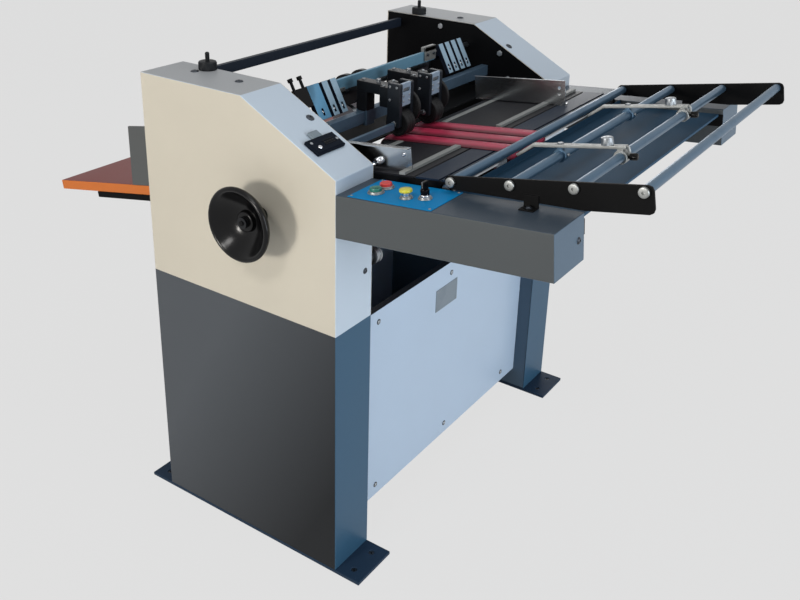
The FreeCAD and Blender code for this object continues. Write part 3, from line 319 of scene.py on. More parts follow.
def paint(name, tone, roughness=0.42, paintedShadeFade=None, shine=0.5):
    # sprayed enamel: fine orange peel, faint clouds, and edges where it is thin, with an optional painted shade
    # towards the foot and the front
    look = Look(name, tone, roughness, coat=0.15 * shine, specular=shine)
    clouds = look.noise(3.1, 4)
    specks = look.noise(260, 2)
    base = look.mixed(clouds, look.shade(1 - wear["clouds"]), look.shade(1 + wear["clouds"]))
    if paintedShadeFade:  # painted shade: darker towards the foot and the front
        low, high, depth = paintedShadeFade
        along = look.add("ShaderNodeSeparateXYZ", {}, {0: look.spot}, "Y")
        height = look.add("ShaderNodeSeparateXYZ", {}, {0: look.spot}, "Z")
        base = look.mixed(look.ramp(along + 0.577 * height, low, high), look.shade(depth), base)
    rub = look.edges(wear["paintEdge"]) * look.ramp(look.noise(42, 4), 0.42, 0.62)
    look.put("Base Color", look.mixed(rub * wear["paintRub"], base, look.shade(1.5)))
    look.put("Roughness", roughness - 0.07 + 0.14 * clouds)
    look.bump(look.noise(520, 2) * 0.7 + specks * 0.3, wear["peel"], 0.5)
    return look.material


def brushed(name, tone, roughness=0.34, along=(1, 40, 40), metallic=1.0, streak=0.16):
    # steel drawn or ground along one direction, with a few darker stains
    look = Look(name, tone, roughness, metallic=metallic)
    lines = look.noise(26, 6, 0.7, look.stretched(along))
    stains = look.ramp(look.noise(14, 5), 0.52, 0.78)
    base = look.mixed(lines, look.shade(1 - streak), look.shade(1 + streak))
    look.put("Base Color", look.mixed(stains * 0.35, base, look.shade(0.55)))
    look.put("Roughness", roughness - 0.10 + 0.22 * lines + 0.10 * stains)
    look.bump(lines, 0.00012, 0.5)
    return look.material


def plated(name, tone, roughness=0.16):
    # bright nickel or chrome plate, with fingermarks
    look = Look(name, tone, roughness, metallic=1.0)
    marks = look.ramp(look.noise(38, 5), 0.45, 0.75)
    look.put("Base Color", look.mixed(marks, look.colour, look.shade(0.84)))
    look.put("Roughness", roughness + 0.16 * marks)
    look.bump(look.noise(420, 2), 0.00008, 0.4)
    return look.material


def moulded(name, tone, roughness=0.28, shine=0.5):
    # moulded plastic: a fine grain, soft gloss and rubbed edges
    look = Look(name, tone, roughness, coat=0.25 * shine, specular=shine)
    clouds = look.noise(18, 3)
    rub = look.edges(wear["plasticEdge"]) * look.ramp(look.noise(70, 4), 0.45, 0.65)
    base = look.mixed(clouds, look.shade(0.93), look.shade(1.07))
    look.put("Base Color", look.mixed(rub * wear["plasticRub"], base, look.shade(1.9)))
    look.put("Roughness", roughness - 0.04 + 0.12 * clouds)
    look.bump(look.noise(900, 2), wear["grain"], 0.5)
    return look.material


def rubber(name, tone, roughness=0.7, ribs=None, grooveShadeRows=None):
    # moulded or cured rubber, dusty, with woven ribs on the belts and painted shade darkening each belt towards its
    # edges, where the grooves between them lie
    look = Look(name, tone, roughness, specular=0.3)
    dust = look.ramp(look.noise(34, 5), 0.40, 0.80)
    base = look.mixed(dust, look.shade(0.88), look.shade(1.18))
    # painted shade: each belt darker towards its edges, in the grooves between the belts
    if grooveShadeRows:
        middle, pitch = grooveShadeRows
        across = look.add("ShaderNodeSeparateXYZ", {}, {0: look.spot}, "X")
        turn = (across - middle) * (2 * math.pi / pitch)
        crest = look.add("ShaderNodeMath", {"operation": "COSINE"}, {0: turn})
        grooveShadeNoise = look.noise(30, 4, 0.6, look.stretched((1, 0.12, 1)))
        base = look.mixed(look.ramp(crest + grooveShadeNoise * 0.7, -0.45, 0.75), look.shade(0.22), base)
    look.put("Base Color", base)
    look.put("Roughness", roughness - 0.08 + 0.16 * dust)
    height = look.noise(650, 3)
    if ribs:
        weave = look.noise(1, 1, 0.5, look.stretched(ribs))
        height = height * 0.4 + weave * 0.6
    look.bump(height, 0.0004, 0.6)
    return look.material


looks = {
    "cream": paint("creamEnamel", colour(202, 195, 179)),
    "pale": paint("paleEnamel", colour(190, 202, 214)),
    # a greyer copy of the pale enamel: painted shade for the cover tops
    "paleTopShade": paint("paleTopEnamel", colour(170, 172, 174), 0.5, shine=0.3),
    # the charcoal column paint carries painted shade, darker towards the foot and the front
    "charcoal": paint("charcoalEnamel", colour(80, 84, 89), paintedShadeFade=(-0.14, 0.36, 0.16), shine=0.12),
    # slate and its lighter inner copy below paint the column's front reflection and the light on its inner faces
    "slate": paint("slateEnamel", colour(50, 85, 110), shine=0.25),
    "slateDark": paint("slateInnerEnamel", colour(70, 90, 108), 0.5, shine=0.3),
    "panelBlue": paint("panelEnamel", colour(180, 197, 216)),
    # the three arm paints are copies of one paint, carrying painted light per facing
    "armSide": paint("armSideEnamel", colour(76, 80, 82), shine=0.25),
    "armTop": paint("armTopEnamel", colour(56, 67, 78), shine=0.3),
    "armEnd": paint("armEndEnamel", colour(78, 96, 112), shine=0.3),
    "frameBlack": paint("frameEnamel", colour(9, 10, 12), 0.6, shine=0.06),
    "navy": paint("navyEnamel", colour(24, 32, 44), 0.5, shine=0.25),
    "trayBlack": paint("trayEnamel", colour(9, 9, 10), 0.5, shine=0.08),
    "footSteel": paint("footEnamel", colour(34, 52, 72), 0.5, shine=0.1),
    "panBlue": paint("panEnamel", colour(42, 70, 92), 0.46, shine=0.06),
    "barBlue": brushed("bluedBar", colour(80, 106, 128), 0.34, metallic=0.7),
    "beamBlue": brushed("bluedBeam", colour(84, 106, 126), 0.40, metallic=0.5),
    "fingerBlue": brushed("fingerBeam", colour(104, 148, 172), 0.42, metallic=0.4),
    "steel": brushed("turnedSteel", colour(150, 156, 162), 0.28),
    "guide": brushed("guideSteel", colour(196, 198, 200), 0.17, along=(40, 1, 40), streak=0.08),
    "dark": brushed("machinedIron", colour(70, 74, 80), 0.42),
    "bright": plated("brightPlate", colour(214, 216, 220)),
    "satin": plated("satinPlate", colour(160, 164, 168), 0.38),
    "nickel": plated("dullNickel", colour(148, 150, 149), 0.40),
    "table": paint("tableEnamel", colour(26, 26, 30), 0.45, shine=0.12),
    "tableBlue": paint("tableBlueEnamel", colour(20, 34, 52), 0.42, shine=0.12),
    "strip": brushed("stripSteel", colour(140, 142, 140), 0.5, metallic=0.25),
    "belt": rubber("feedBeltRubber", colour(188, 54, 84), 0.42, ribs=(900, 260, 260), grooveShadeRows=(-0.095, 0.0605)),
    "drive": rubber("driveBeltRubber", colour(30, 30, 32)),
    "wheelBlack": moulded("wheelPhenolic", colour(7, 7, 8), 0.20, shine=0.22),
    "tyre": rubber("wheelRubber", colour(16, 16, 18), 0.6),
    "black": moulded("blackPhenolic", colour(8, 8, 9), 0.24, shine=0.12),
    "headBlack": moulded("headBlacking", colour(14, 16, 20), 0.40, shine=0.25),
    "headPlate": brushed("headFacing", colour(156, 174, 192), 0.40, metallic=0.4),
    "cheekSteel": brushed("cheekBlacking", colour(30, 35, 42), 0.40, metallic=0.4),
    "controlBlue": moulded("controlFilm", colour(6, 130, 190), 0.5, shine=0.08),
    "red": moulded("redCap", colour(222, 66, 60), 0.25),
    "green": moulded("greenCap", colour(44, 116, 100), 0.25),
    "yellow": moulded("yellowCap", colour(204, 196, 52), 0.28),
    "counterNavy": moulded("counterCase", colour(14, 20, 30), 0.6, shine=0.06),
    "motor": paint("motorEnamel", colour(84, 98, 108)),
    "counterGrey": moulded("counterTab", colour(120, 132, 140), 0.4, shine=0.3),
    "knobBlack": moulded("knobPhenolic", colour(26, 28, 31), 0.5, shine=0.15),
    "fingerFace": brushed("fingerGround", colour(146, 172, 190), 0.38, along=(40, 4, 4), metallic=0.5),
    "fingerWide": brushed("fingerWideGround", colour(92, 146, 180), 0.38, along=(40, 4, 4), metallic=0.4),
    "fingerSide": paint("fingerBlacking", colour(16, 22, 36), 0.45, shine=0.2),
    "laminate": paint("boardLaminate", colour(126, 42, 34), 0.34, shine=0.06),
    "boardEdge": paint("boardEdging", colour(206, 112, 44), 0.45, shine=0.3),
    "wing": paint("wingEnamel", colour(84, 86, 86), 0.5, shine=0.3),
    "plateGrey": brushed("plateAluminium", colour(132, 144, 154), 0.42, metallic=0.6),
}
print("finishes made:", len(looks))


# ---- shaping tools, in millimetres, set down in a frame of the machine

def tilted(origin, degrees):
    return Matrix.Translation(origin) @ Matrix.Rotation(math.radians(degrees), 4, "X") @ Matrix.Scale(0.001, 4)


frames = {
    "floor": tilted((0, 0, 0), 0),
    "table": tilted((0, -0.144, 0.925), -6.7),
    "arm": tilted((0, -0.264, 0.926), -5.4),
    "tray": tilted((0, -0.458, 0.969), -10.7),
    "finger": tilted((0, -0.002, 1.020), -28.5),
    "slope": tilted((0, -0.023, 1.080), 27.414),
    "board": tilted((0, 0.206, 0.785), -10.8),
}
turns = {
    "Z": Matrix.Identity(4),
    "X": Matrix.Rotation(math.pi / 2, 4, "Y"),
    "-X": Matrix.Rotation(-math.pi / 2, 4, "Y"),
    "Y": Matrix.Rotation(-math.pi / 2, 4, "X"),
    "-Y": Matrix.Rotation(math.pi / 2, 4, "X"),
}


tooling = {"bevelFrom": 25, "sharpFrom": 32, "weld": 1e-6, "flat": 1.5}


def bevelEdges(bm, width, segments, least=0.0):
    edges = []
    for edge in bm.edges:
        if len(edge.link_faces) == 2 and edge.calc_face_angle() > math.radians(tooling["bevelFrom"]):
            if min(face.calc_area() for face in edge.link_faces) > least:
                edges.append(edge)
    bmesh.ops.bevel(bm, geom=edges, offset=width, offset_type="OFFSET", segments=segments,
                    profile=0.5, affect="EDGES", clamp_overlap=False)


def setDown(name, mesh, materials, body, stands=(), sharp=tooling["sharpFrom"]):
    for face in mesh.polygons:
        face.use_smooth = True
    mesh.set_sharp_from_angle(angle=math.radians(sharp))
    for material in materials:
        mesh.materials.append(looks[material])
    piece = bpy.data.objects.new(name, mesh)
    bpy.context.scene.collection.objects.link(piece)
    weights = piece.modifiers.new("flatFaces", "WEIGHTED_NORMAL")
    weights.keep_sharp = True
    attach(piece, body)
    if stands:
        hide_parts(*stands)
    return piece


class Shape:
    # solids gathered into one mesh

    def __init__(self, frameName="floor"):
        self.bm = bmesh.new()
        self.place = frames[frameName]

    def take(self, part, material):
        for face in part.faces:
            face.material_index = material
        scratch = bpy.data.meshes.new("scratch")
        part.to_mesh(scratch)
        part.free()
        self.bm.from_mesh(scratch)
        bpy.data.meshes.remove(scratch)

    def block(self, low, high, material=0, round=0.6, segments=2):
        part = bmesh.new()
        bmesh.ops.create_cube(part, size=1)
        middle = [(a + b) / 2 for a, b in zip(low, high)]
        size = [b - a for a, b in zip(low, high)]
        for corner in part.verts:
            corner.co = Vector([c * s for c, s in zip(corner.co, size)])
        bevelEdges(part, round, segments)
        part.transform(Matrix.Translation(middle))
        self.take(part, material)

    def prism(self, outline, start, length, material=0, round=0.6):
        # an outline in Y and Z, drawn out along X
        part = bmesh.new()
        loops = []
        for across in (start, start + length):
            loops.append([part.verts.new((across, a, b)) for a, b in outline])
        part.faces.new(loops[0][::-1])
        part.faces.new(loops[1])
        count = len(outline)
        for index in range(count):
            after = (index + 1) % count
            part.faces.new((loops[0][index], loops[0][after], loops[1][after], loops[1][index]))
        bmesh.ops.recalc_face_normals(part, faces=part.faces)
        bevelEdges(part, round, 2)
        self.take(part, material)

    def lathe(self, profile, at=(0, 0, 0), axis="Z", material=0, steps=32, knurl=None):
        # (along, radius) or (along, radius, sides) stations turned about an axis; sides make a hexagon
        part = bmesh.new()
        rings = []
        for index, station in enumerate(profile):
            along, radius = station[0], station[1]
            sides = station[2] if len(station) > 2 else 0
            if radius < 1e-6:
                rings.append([part.verts.new((0, 0, along))])
                continue
            ring = []
            for step in range(steps):
                angle = 2 * math.pi * step / steps
                reach = radius
                if sides:
                    sector = 2 * math.pi / sides
                    reach = radius * math.cos(sector / 2) / math.cos((angle % sector) - sector / 2)
                if knurl and knurl[1] <= index <= knurl[2] and step % 2:
                    reach = radius - knurl[0]
                ring.append(part.verts.new((reach * math.cos(angle), reach * math.sin(angle), along)))
            rings.append(ring)
        for lower, upper in zip(rings, rings[1:]):
            for step in range(steps):
                after = (step + 1) % steps
                if len(lower) == 1:
                    part.faces.new((lower[0], upper[after], upper[step]))
                elif len(upper) == 1:
                    part.faces.new((lower[step], lower[after], upper[0]))
                else:
                    part.faces.new((lower[step], lower[after], upper[after], upper[step]))
        for ring, order in ((rings[0], -1), (rings[-1], 1)):
            if len(ring) > 1:
                part.faces.new(ring[::order])
        bmesh.ops.recalc_face_normals(part, faces=part.faces)
        part.transform(Matrix.Translation(at) @ turns[axis])
        self.take(part, material)

    def tube(self, path, radius, material=0, sides=8):
        # a round bar that follows points
        part = bmesh.new()
        points = [Vector(point) for point in path]
        count = len(points)
        rings = []
        up = Vector((0.123, 0.456, 0.88)).normalized()
        for index, point in enumerate(points):
            before = points[index - 1] if index else point
            after = points[index + 1] if index < count - 1 else point
            ahead = (after - before).normalized()
            up = (up - ahead * up.dot(ahead)).normalized()
            across = ahead.cross(up)
            ring = []
            for side in range(sides):
                angle = 2 * math.pi * side / sides
                ring.append(part.verts.new(point + (up * math.cos(angle) + across * math.sin(angle)) * radius))
            rings.append(ring)
        part.faces.new(rings[0])
        part.faces.new(rings[-1][::-1])
        for first, second in zip(rings, rings[1:]):
            for side in range(sides):
                after = (side + 1) % sides
                part.faces.new((first[side], second[side], second[after], first[after]))
        bmesh.ops.recalc_face_normals(part, faces=part.faces)
        self.take(part, material)

    def done(self, name, materials, body, stands=(), sharp=tooling["sharpFrom"]):
        self.bm.transform(self.place)
        mesh = bpy.data.meshes.new(name)
        self.bm.to_mesh(mesh)
        self.bm.free()
        return setDown(name, mesh, materials, body, stands, sharp)


def softened(node, width, materials, segments=2, least=0.0, sort=None, change=None):
    # the machined solid again with its edges broken, and a finish for each of its faces;
    # change is a point and a direction, where one finish gives way to another
    bm = bmesh.new()
    bm.from_mesh(nodes[node].data)
    bmesh.ops.remove_doubles(bm, verts=bm.verts, dist=tooling["weld"])
    bmesh.ops.dissolve_limit(bm, angle_limit=math.radians(tooling["flat"]), verts=bm.verts, edges=bm.edges)
    bevelEdges(bm, width, segments, least)
    if change:
        bmesh.ops.bisect_plane(bm, geom=bm.verts[:] + bm.edges[:] + bm.faces[:], plane_co=change[0],
                               plane_no=change[1])
    mesh = bpy.data.meshes.new(node + "_shell")
    bm.to_mesh(mesh)
    bm.free()
    for attribute in list(mesh.attributes):
        if attribute.name == "custom_normal":
            mesh.attributes.remove(attribute)
    mesh.materials.clear()
    for face in mesh.polygons:
        face.material_index = sort(face.normal, face.center) if sort else 0
    return setDown(node + "_shell", mesh, materials, nodes[node]["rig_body"], [node])


def dress(look, *names):
    for name in names:
        nodes[name].material_slots[0].material = looks[look]


def local(frameName, point):
    return frames[frameName].inverted() @ Vector(point)


# ---- side frames, covers and panels

shells = {"coverBend": 0.0022, "columnBend": 0.0018, "panelBend": 0.0010, "armBend": 0.0020, "sheetFace": 0.003,
          "innerPaint": 0.62}


# painted light: cream on the side faces, pale on the front and slope faces, grey on the tops; two-tone paint that
# also paints the warm light on the sides and the cool light on the front, and painted shade on the tops
def coverFaces(normal, centre):
    if abs(normal.x) > 0.8:
        return 0
    return 2 if normal.z > 0.95 else 1


# painted light: outer sides take charcoal with its painted shade, the other faces a bluer slate that paints the
# reflection of cool front light, inner sides a lighter slate copy that paints light the lamps barely give there
def columnFaces(normal, centre):
    if normal.x < -0.8 and centre.x < 0 or normal.x > 0.8 and centre.x > 0:
        return 0
    return 1 if abs(normal.x) < 0.8 else 2


# painted shade: the panels' upward faces, the top flange, take dark navy instead of the panel blue
def panelFaces(normal, centre):
    return 1 if normal.z > 0.8 else 0


# the far inner plate below innerPaint takes the column's lighter inner slate, partly its paint and partly painted
# light where the lamps barely reach
def plateFaces(normal, centre):
    return 1 if centre.x > 0 and centre.z < shells["innerPaint"] else 0


for side in ("near", "far"):
    softened(side + "_cover", shells["coverBend"], ["cream", "pale", "paleTopShade"], 3,
             shells["sheetFace"], coverFaces)
    softened(side + "_column", shells["columnBend"], ["charcoal", "slate", "slateDark"], 3,
             shells["sheetFace"], columnFaces)
softened("foot_plates", 0.0006, ["footSteel"], 1)
for panel in ("front_panel", "rear_panel"):
    softened(panel, shells["panelBend"], ["panelBlue", "navy"], 2, 0.0, panelFaces)
paintEdge = ((0, 0, shells["innerPaint"]), (0, 0, 1))
softened("inner_plates", 0.0005, ["frameBlack", "slateDark"], 1, 0.0, plateFaces, paintEdge)
softened("tie_bar", 0.0012, ["navy"])
softened("cross_members", 0.0006, ["frameBlack"], 1)


# painted light: side, top and end faces take lit and shaded copies of one arm paint, tinted by how the lamps fall
def armFaces(normal, centre):
    if abs(normal.x) > 0.8:
        return 0
    if normal.z > 0.5:
        return 1
    return 2


for arm in ("control_arm", "far_arm"):
    softened(arm, shells["armBend"], ["armSide", "armTop", "armEnd"], 3, shells["sheetFace"], armFaces)
print("covers, columns, panels and arms finished")


# ---- feed table, strips, guides and the red belts

feedTable = {"beltHalf": 27, "beltPitch": 60.5, "beltMiddle": -95, "rollerSpan": 288, "rollerRadius": 18,
             "beltGap": 0.3, "beltThick": 6, "beltRound": 1.3, "crown": 4.2, "frontPlate": -218,
             "underBarShadeFrom": -8}


# painted shade: the table's rear part, under the feed bar and heads, takes black frame paint
def tableFaces(normal, centre):
    along = local("table", centre).y
    if along < feedTable["frontPlate"]:
        return 1
    return 2 if along > feedTable["underBarShadeFrom"] else 0


underBarShadeEdge = (frames["table"] @ Vector((0, feedTable["underBarShadeFrom"], 0)), frames["table"].to_3x3() @ Vector((0, 1, 0)))
softened("feed_table", 0.0006, ["table", "tableBlue", "frameBlack"], 1, 0.0, tableFaces, underBarShadeEdge)
softened("table_strips", 0.0004, ["strip"], 1)


def beltSection():
    # half widths and heights over the inner face, up one side, over the crown and down again
    half, thick, bend = feedTable["beltHalf"], feedTable["beltThick"], feedTable["beltRound"]
    section = [(-half, 0.6), (-half, thick - feedTable["crown"] - bend)]
    for step in range(1, 5):
        angle = math.pi / 2 * step / 4
        section.append((-half + bend - bend * math.cos(angle),
                        thick - feedTable["crown"] - bend + bend * math.sin(angle)))
    for step in range(1, 12):
        across = (-half + bend) * (1 - step / 6)
        section.append((across, thick - feedTable["crown"] * (across / (half - bend)) ** 2))
    for step in range(0, 4):
        angle = math.pi / 2 * (1 - step / 4)
        section.append((half - bend + bend * math.cos(angle),
                        thick - feedTable["crown"] - bend + bend * math.sin(angle)))
    section += [(half, thick - feedTable["crown"] - bend), (half, 0.6), (half - 0.6, 0), (-half + 0.6, 0)]
    return section


def addFeedBelts():
    shape = Shape("table")
    radius = feedTable["rollerRadius"] + feedTable["beltGap"]
    path = []  # middle, outward direction
    for step in range(13):
        angle = math.pi / 2 - math.pi * step / 12
        path.append((0.0, angle))
    for step in range(13):
        angle = -math.pi / 2 - math.pi * step / 12
        path.append((-feedTable["rollerSpan"], angle))
    section = beltSection()
    for count in (-1, 0, 1):
        middle = feedTable["beltMiddle"] + count * feedTable["beltPitch"]
        part = bmesh.new()
        rings = []
        for centre, angle in path:
            ring = []
            for across, lift in section:
                reach = radius + lift
                ring.append(part.verts.new((middle + across, centre + reach * math.cos(angle),
                                            reach * math.sin(angle) - feedTable["rollerRadius"])))
            rings.append(ring)
        for first, second in zip(rings, rings[1:] + rings[:1]):
            for index in range(len(section)):
                after = (index + 1) % len(section)
                part.faces.new((first[index], first[after], second[after], second[index]))
        bmesh.ops.recalc_face_normals(part, faces=part.faces)
        shape.take(part, 0)
    shape.done("feed_belts_ribbed", ["belt"], "frame", ["feed_belts"])


addFeedBelts()


def addSideGuides():
    softened("far_side_guide", 0.0004, ["guide"], 1)
    shape = Shape("table")
    outline = [(-198, 6.5), (-180, 6.5), (-180, 2.4), (-32, 2.4), (-32, 50.3), (-198, 50.3)]
    shape.prism(outline, -375, 2.5, 0, 0.5)
    shape.block((-388.5, -198, 47.8), (-372.5, -32, 50.3), 0, 0.5)
    shape.lathe([(0, 7.2), (0.8, 8), (2, 8), (10.5, 8), (12, 7), (12.2, 4.5), (11.2, 3.6, 6), (9, 3.4, 6)],
                (-375, -116, 14), "-X", 1, 48, (0.45, 1, 3))
    for along in (-180, -52):
        shape.lathe([(0, 4), (1.6, 4), (2.4, 3), (2.5, 1.9, 6), (1.2, 1.8, 6)], (-375, along, 34), "-X", 1, 24)
    shape.done("near_guide_plate", ["guide", "bright"], "near_guide", ["near_side_guide"])


addSideGuides()
print("feed table, belts and guides finished")


# ---- separator heads on the feed bar

head = {"half": 27, "cheek": 10, "plateFront": -175.5, "blockFront": -170.5, "blockRear": -120.5,
        "bridge": 15, "clampRear": -49, "axleY": -162, "axleZ": 964.17, "blockLow": 998, "blockTop": 1044,
        "bridgeLow": 1020, "clampLow": 941, "cheekTop": 1056}


def addHead(side, centre):
    half, cheek = head["half"], head["cheek"]
    left, right = centre - half, centre + half
    shape = Shape()
    top, axle = head["blockTop"], (head["axleY"], head["axleZ"])
    shape.block((left + 0.6, head["blockFront"], head["blockLow"]), (right - 0.6, head["blockRear"], top), 0, 1.8, 3)
    reach, clampRear = head["bridge"], head["clampRear"]
    shape.block((centre - reach, -121.5, head["bridgeLow"]), (centre + reach, clampRear, top), 0, 1.4, 3)
    for low, high in ((-79, -74.3), (-53.7, clampRear)):  # clamp round the bar
        shape.block((centre - reach, low, head["clampLow"]), (centre + reach, high, 977), 5, 0.8)
        shape.block((centre - reach, low, 976), (centre + reach, high, 1021), 0, 0.8)
    shape.block((centre - reach + 0.3, -75, 941.2), (centre + reach - 0.3, -53, 945.7), 5, 0.5)
    shape.block((centre - reach + 0.3, -75, 974.3), (centre + reach - 0.3, -53, 1021), 0, 0.5)
    inner, plateFront, plateRear = half - cheek, head["plateFront"], head["blockFront"] + 1
    for low, high, narrow, wide in ((1005, 1036, -inner, inner), (1045, head["cheekTop"], -inner, inner),
                                    (1036, 1045, -inner, -13), (1036, 1045, 13, inner)):
        shape.block((centre + narrow, plateFront, low), (centre + wide, plateRear, high), 1, 0.25)
    shape.block((centre - 12, -173, 1037.5), (centre + 12, -169, 1043.5), 3, 0.4)  # slide in the slot
    outline = [(-177, 960), (-173.4, 956.2), (-146.6, 956.2), (-143, 960), (-143, 1053.6),
               (-145.4, head["cheekTop"]), (-174.6, head["cheekTop"]), (-177, 1053.6)]
    for start in (left, right - cheek):
        shape.prism(outline, start, cheek, 2, 0.9)
    shape.lathe([(0, 3.8), (0.4, 4), (53.6, 4), (54, 3.8)], (left, *axle), "X", 3, 20)
    shape.lathe([(0, 7, 6), (1.6, 7, 6), (2.1, 6, 6), (2.1, 3.4), (2.5, 3.2)], (left, *axle), "-X", 3, 24)
    disc = [(0, 37), (0.6, 39), (1.6, 40), (6.2, 40), (7.4, 39.2), (8, 37.6), (8, 31), (7, 30), (7, 14),
            (8.6, 13), (8.6, 7.4), (8.6, 6.6, 6), (12, 6.6, 6), (12.6, 5.6, 6), (12.6, 0)]
    shape.lathe(disc, (right, -154, 994), "X", 4, 64)
    shape.lathe([(0, 10.6), (1, 12), (2, 12), (7.4, 12), (8.6, 11), (9, 9), (9, 4), (8, 3.6)],
                (centre, -140, top), "Z", 0, 56, (0.5, 1, 3))
    shape.lathe([(8, 3.4), (12, 3.4), (12.6, 2.6)], (centre, -140, top), "Z", 3, 20)
    shape.lathe([(0, 5), (7.4, 5), (8.6, 4.2), (9, 3), (9, 2.2, 6), (5, 2, 6)], (centre, -100, top), "Z", 3, 28)
    screw = [(0, 3.6), (2.4, 3.6), (3, 3), (3, 2, 6), (1, 1.8, 6)]
    for across, along in ((0, -58), (-20, -128), (20, -128), (-20, -164), (20, -164)):
        shape.lathe(screw, (centre + across, along, top), "Z", 3, 24)
    for up in (1016, 1028):
        for across in (-11.5, 11.5):
            shape.lathe([(0, 2.6), (1.2, 2.6), (1.6, 2), (1.6, 1.4, 6), (0.8, 1.3, 6)],
                        (centre + across, plateFront, up), "-Y", 3, 20)
    for along, up in ((-150, 1048), (-150, 1018), (-168, 1048)):
        shape.lathe([(0, 3), (1.6, 3), (2.2, 2.4), (2.2, 1.6, 6), (1, 1.5, 6)], (left, along, up), "-X", 3, 20)
    shape.lathe([(0, 6, 6), (5, 6, 6), (5.8, 5, 6), (5.8, 3)], (centre, clampRear, 960), "Y", 3, 24)  # clamp screw
    shape.done(side + "_head_detail", ["headBlack", "headPlate", "cheekSteel", "satin", "tyre", "beamBlue"],
               side + "_separator", [side + "_head"])
    wheel = Shape()
    nearHalf = [(-16.7, 4.2), (-16.7, 12), (-15, 13), (-15, 23), (-16.7, 24.4), (-16.7, 28), (-15.4, 29.8), (-13, 30),
             (-6, 30), (-5.4, 29.2), (-4.6, 29.2), (-4, 30)]
    wheel.lathe(nearHalf + [(-along, radius) for along, radius in nearHalf[::-1]], (centre, *axle), "X", 0, 72)
    wheel.done(side + "_wheel_tyre", ["tyre"], side + "_separator_wheel", [side + "_head_wheel"])


addHead("near", -155)
addHead("far", -34)
softened("feed_bar", 0.0012, ["beamBlue"])
print("separator heads finished")


# ---- fingers over the crease

def fingerFaces(normal, centre):
    facing = frames["finger"].to_3x3().inverted() @ normal
    spot = local("finger", centre)
    if spot.x < -313.5 and spot.y < -20:
        return 2
    if facing.normalized().y > -0.7 or spot.y > -25:
        return 1
    return 3 if spot.x < -272 else 0


for group in ("near_fingers", "far_fingers"):
    softened(group, 0.0007, ["fingerFace", "fingerSide", "black", "fingerWide"], 2, 0.0, fingerFaces)
softened("finger_bar", 0.0014, ["fingerBlue"])


def addFingerScrews():
    # a socket screw low in each blade's slot
    for group, body, starts in (
            ("near", "near_finger_group", [(-313, 40), (-263, 20), (-233, 20)]),
            ("far", "far_finger_group", [(222, 20), (252, 20), (282, 20), (312, 20)])):
        shape = Shape("finger")
        for start, wide in starts:
            shape.lathe([(0, 2.6), (5.2, 2.6), (6, 2.0), (6, 1.5, 6), (4, 1.3, 6)],
                        (start + wide / 2, -27, -43.5), "-Y", 0, 20)
        shape.done(group + "_finger_screws", ["bright"], body)


barHardware = {"front": -22.5, "rear": -17.8, "clamp": (158, 210), "clampTop": 1056, "bracket": (-211.5, -176),
               "bracketLow": 1011}


def addBarHardware():
    # a bright clamp near the far end of the finger bar, and a bracket under its near end
    shape = Shape()
    front, rear, top, low = (barHardware[key] for key in ("front", "rear", "clampTop", "bracketLow"))
    start, end = barHardware["clamp"]
    shape.block((start, front, 1020), (end, rear, top), 0, 1.2)
    shape.block((start, front, 1043.8), (end, -9, top), 0, 1.2)
    for across in (start + 12, end - 12):
        shape.lathe([(0, 4), (2.6, 4), (3.4, 3.2), (3.4, 2, 6), (1.6, 1.9, 6)], (across, front, 1036), "-Y", 1, 24)
    start, end = barHardware["bracket"]
    shape.block((start, front, low), (end, rear, 1024), 0, 1.0)
    shape.block((start, front, low), (end, -11, 1016.2), 0, 1.0)
    shape.done("bar_clamp", ["nickel", "dark"], "frame")


addFingerScrews()
addBarHardware()
print("fingers finished")


# ---- tray of rods

tray = {"rodPitch": 125, "plateFace": 422, "barTop": 22}


def addTrayHardware():
    shape = Shape("tray")
    nut = [(0, 9), (0.5, 10), (5.4, 10), (6.6, 9.1), (7, 7.4), (7, 3.4, 6), (4.2, 3.2, 6)]
    for count in range(4):
        along = -count * tray["rodPitch"]
        shape.lathe(nut, (-tray["plateFace"], along, 0), "-X", 0, 48, (0.3, 1, 2))
        shape.lathe(nut, (tray["plateFace"], along, 0), "X", 0, 48, (0.3, 1, 2))
    shape.done("tray_round_nuts", ["nickel"], "frame", ["rod_nuts"])


def addBackStop(side, centre):
    shape = Shape("tray")
    second, third, top = -tray["rodPitch"], -2 * tray["rodPitch"], tray["barTop"]
    bar = [(third - 12, 15.5), (third + 181, 15.5), (third + 220, -5), (third + 223, 0), (third + 184, top),
           (third - 12, top)]
    shape.prism(bar, centre - 7, 14, 0, 0.9)
    shape.lathe([(0, 11), (0.8, 12), (13.4, 12), (15, 11), (16, 8.6), (16, 0)], (centre, third + 27, top), "Z", 1, 64,
                (0.5, 1, 2))
    shape.lathe([(0, 6.5, 6), (2.4, 6.5, 6), (3, 5.6, 6), (3, 3)], (centre, second, top), "Z", 1, 24)
    collar = [(-10, 9.9), (-10, 13), (-9, 14), (9, 14), (10, 13), (10, 9.9)]
    screw = [(0, 3.2), (3, 3.2), (3.6, 2.6), (3.6, 1.6, 6), (1.6, 1.5, 6)]
    for rod in (third, second):
        finish = 0 if rod == third else 3
        shape.lathe(collar, (centre, rod, 0), "X", finish, 40)
        shape.block((centre - 6, rod - 6, 10), (centre + 6, rod + 6, 18.4), finish, 0.8)
        shape.lathe(screw, (centre, rod - 13.4, 0), "-Y", 1, 24)
    strap = [(third - 12, 20), (third - 15, 17), (third - 16, 8), (third - 14.6, 0)]
    shape.tube([(centre, a, b) for a, b in strap], 3.0, 0, 10)
    shape.lathe([(0, 4), (6, 4), (7, 6.4), (8.4, 7), (20, 7), (21.4, 6.2), (22, 4.6), (22, 0)],
                (centre, third - 10, 0), "-Y", 2, 48, (0.4, 4, 5))
    shape.done(side + "_stop_detail", ["nickel", "satin", "black", "barBlue"], side + "_stop",
               [side + "_back_stop"])


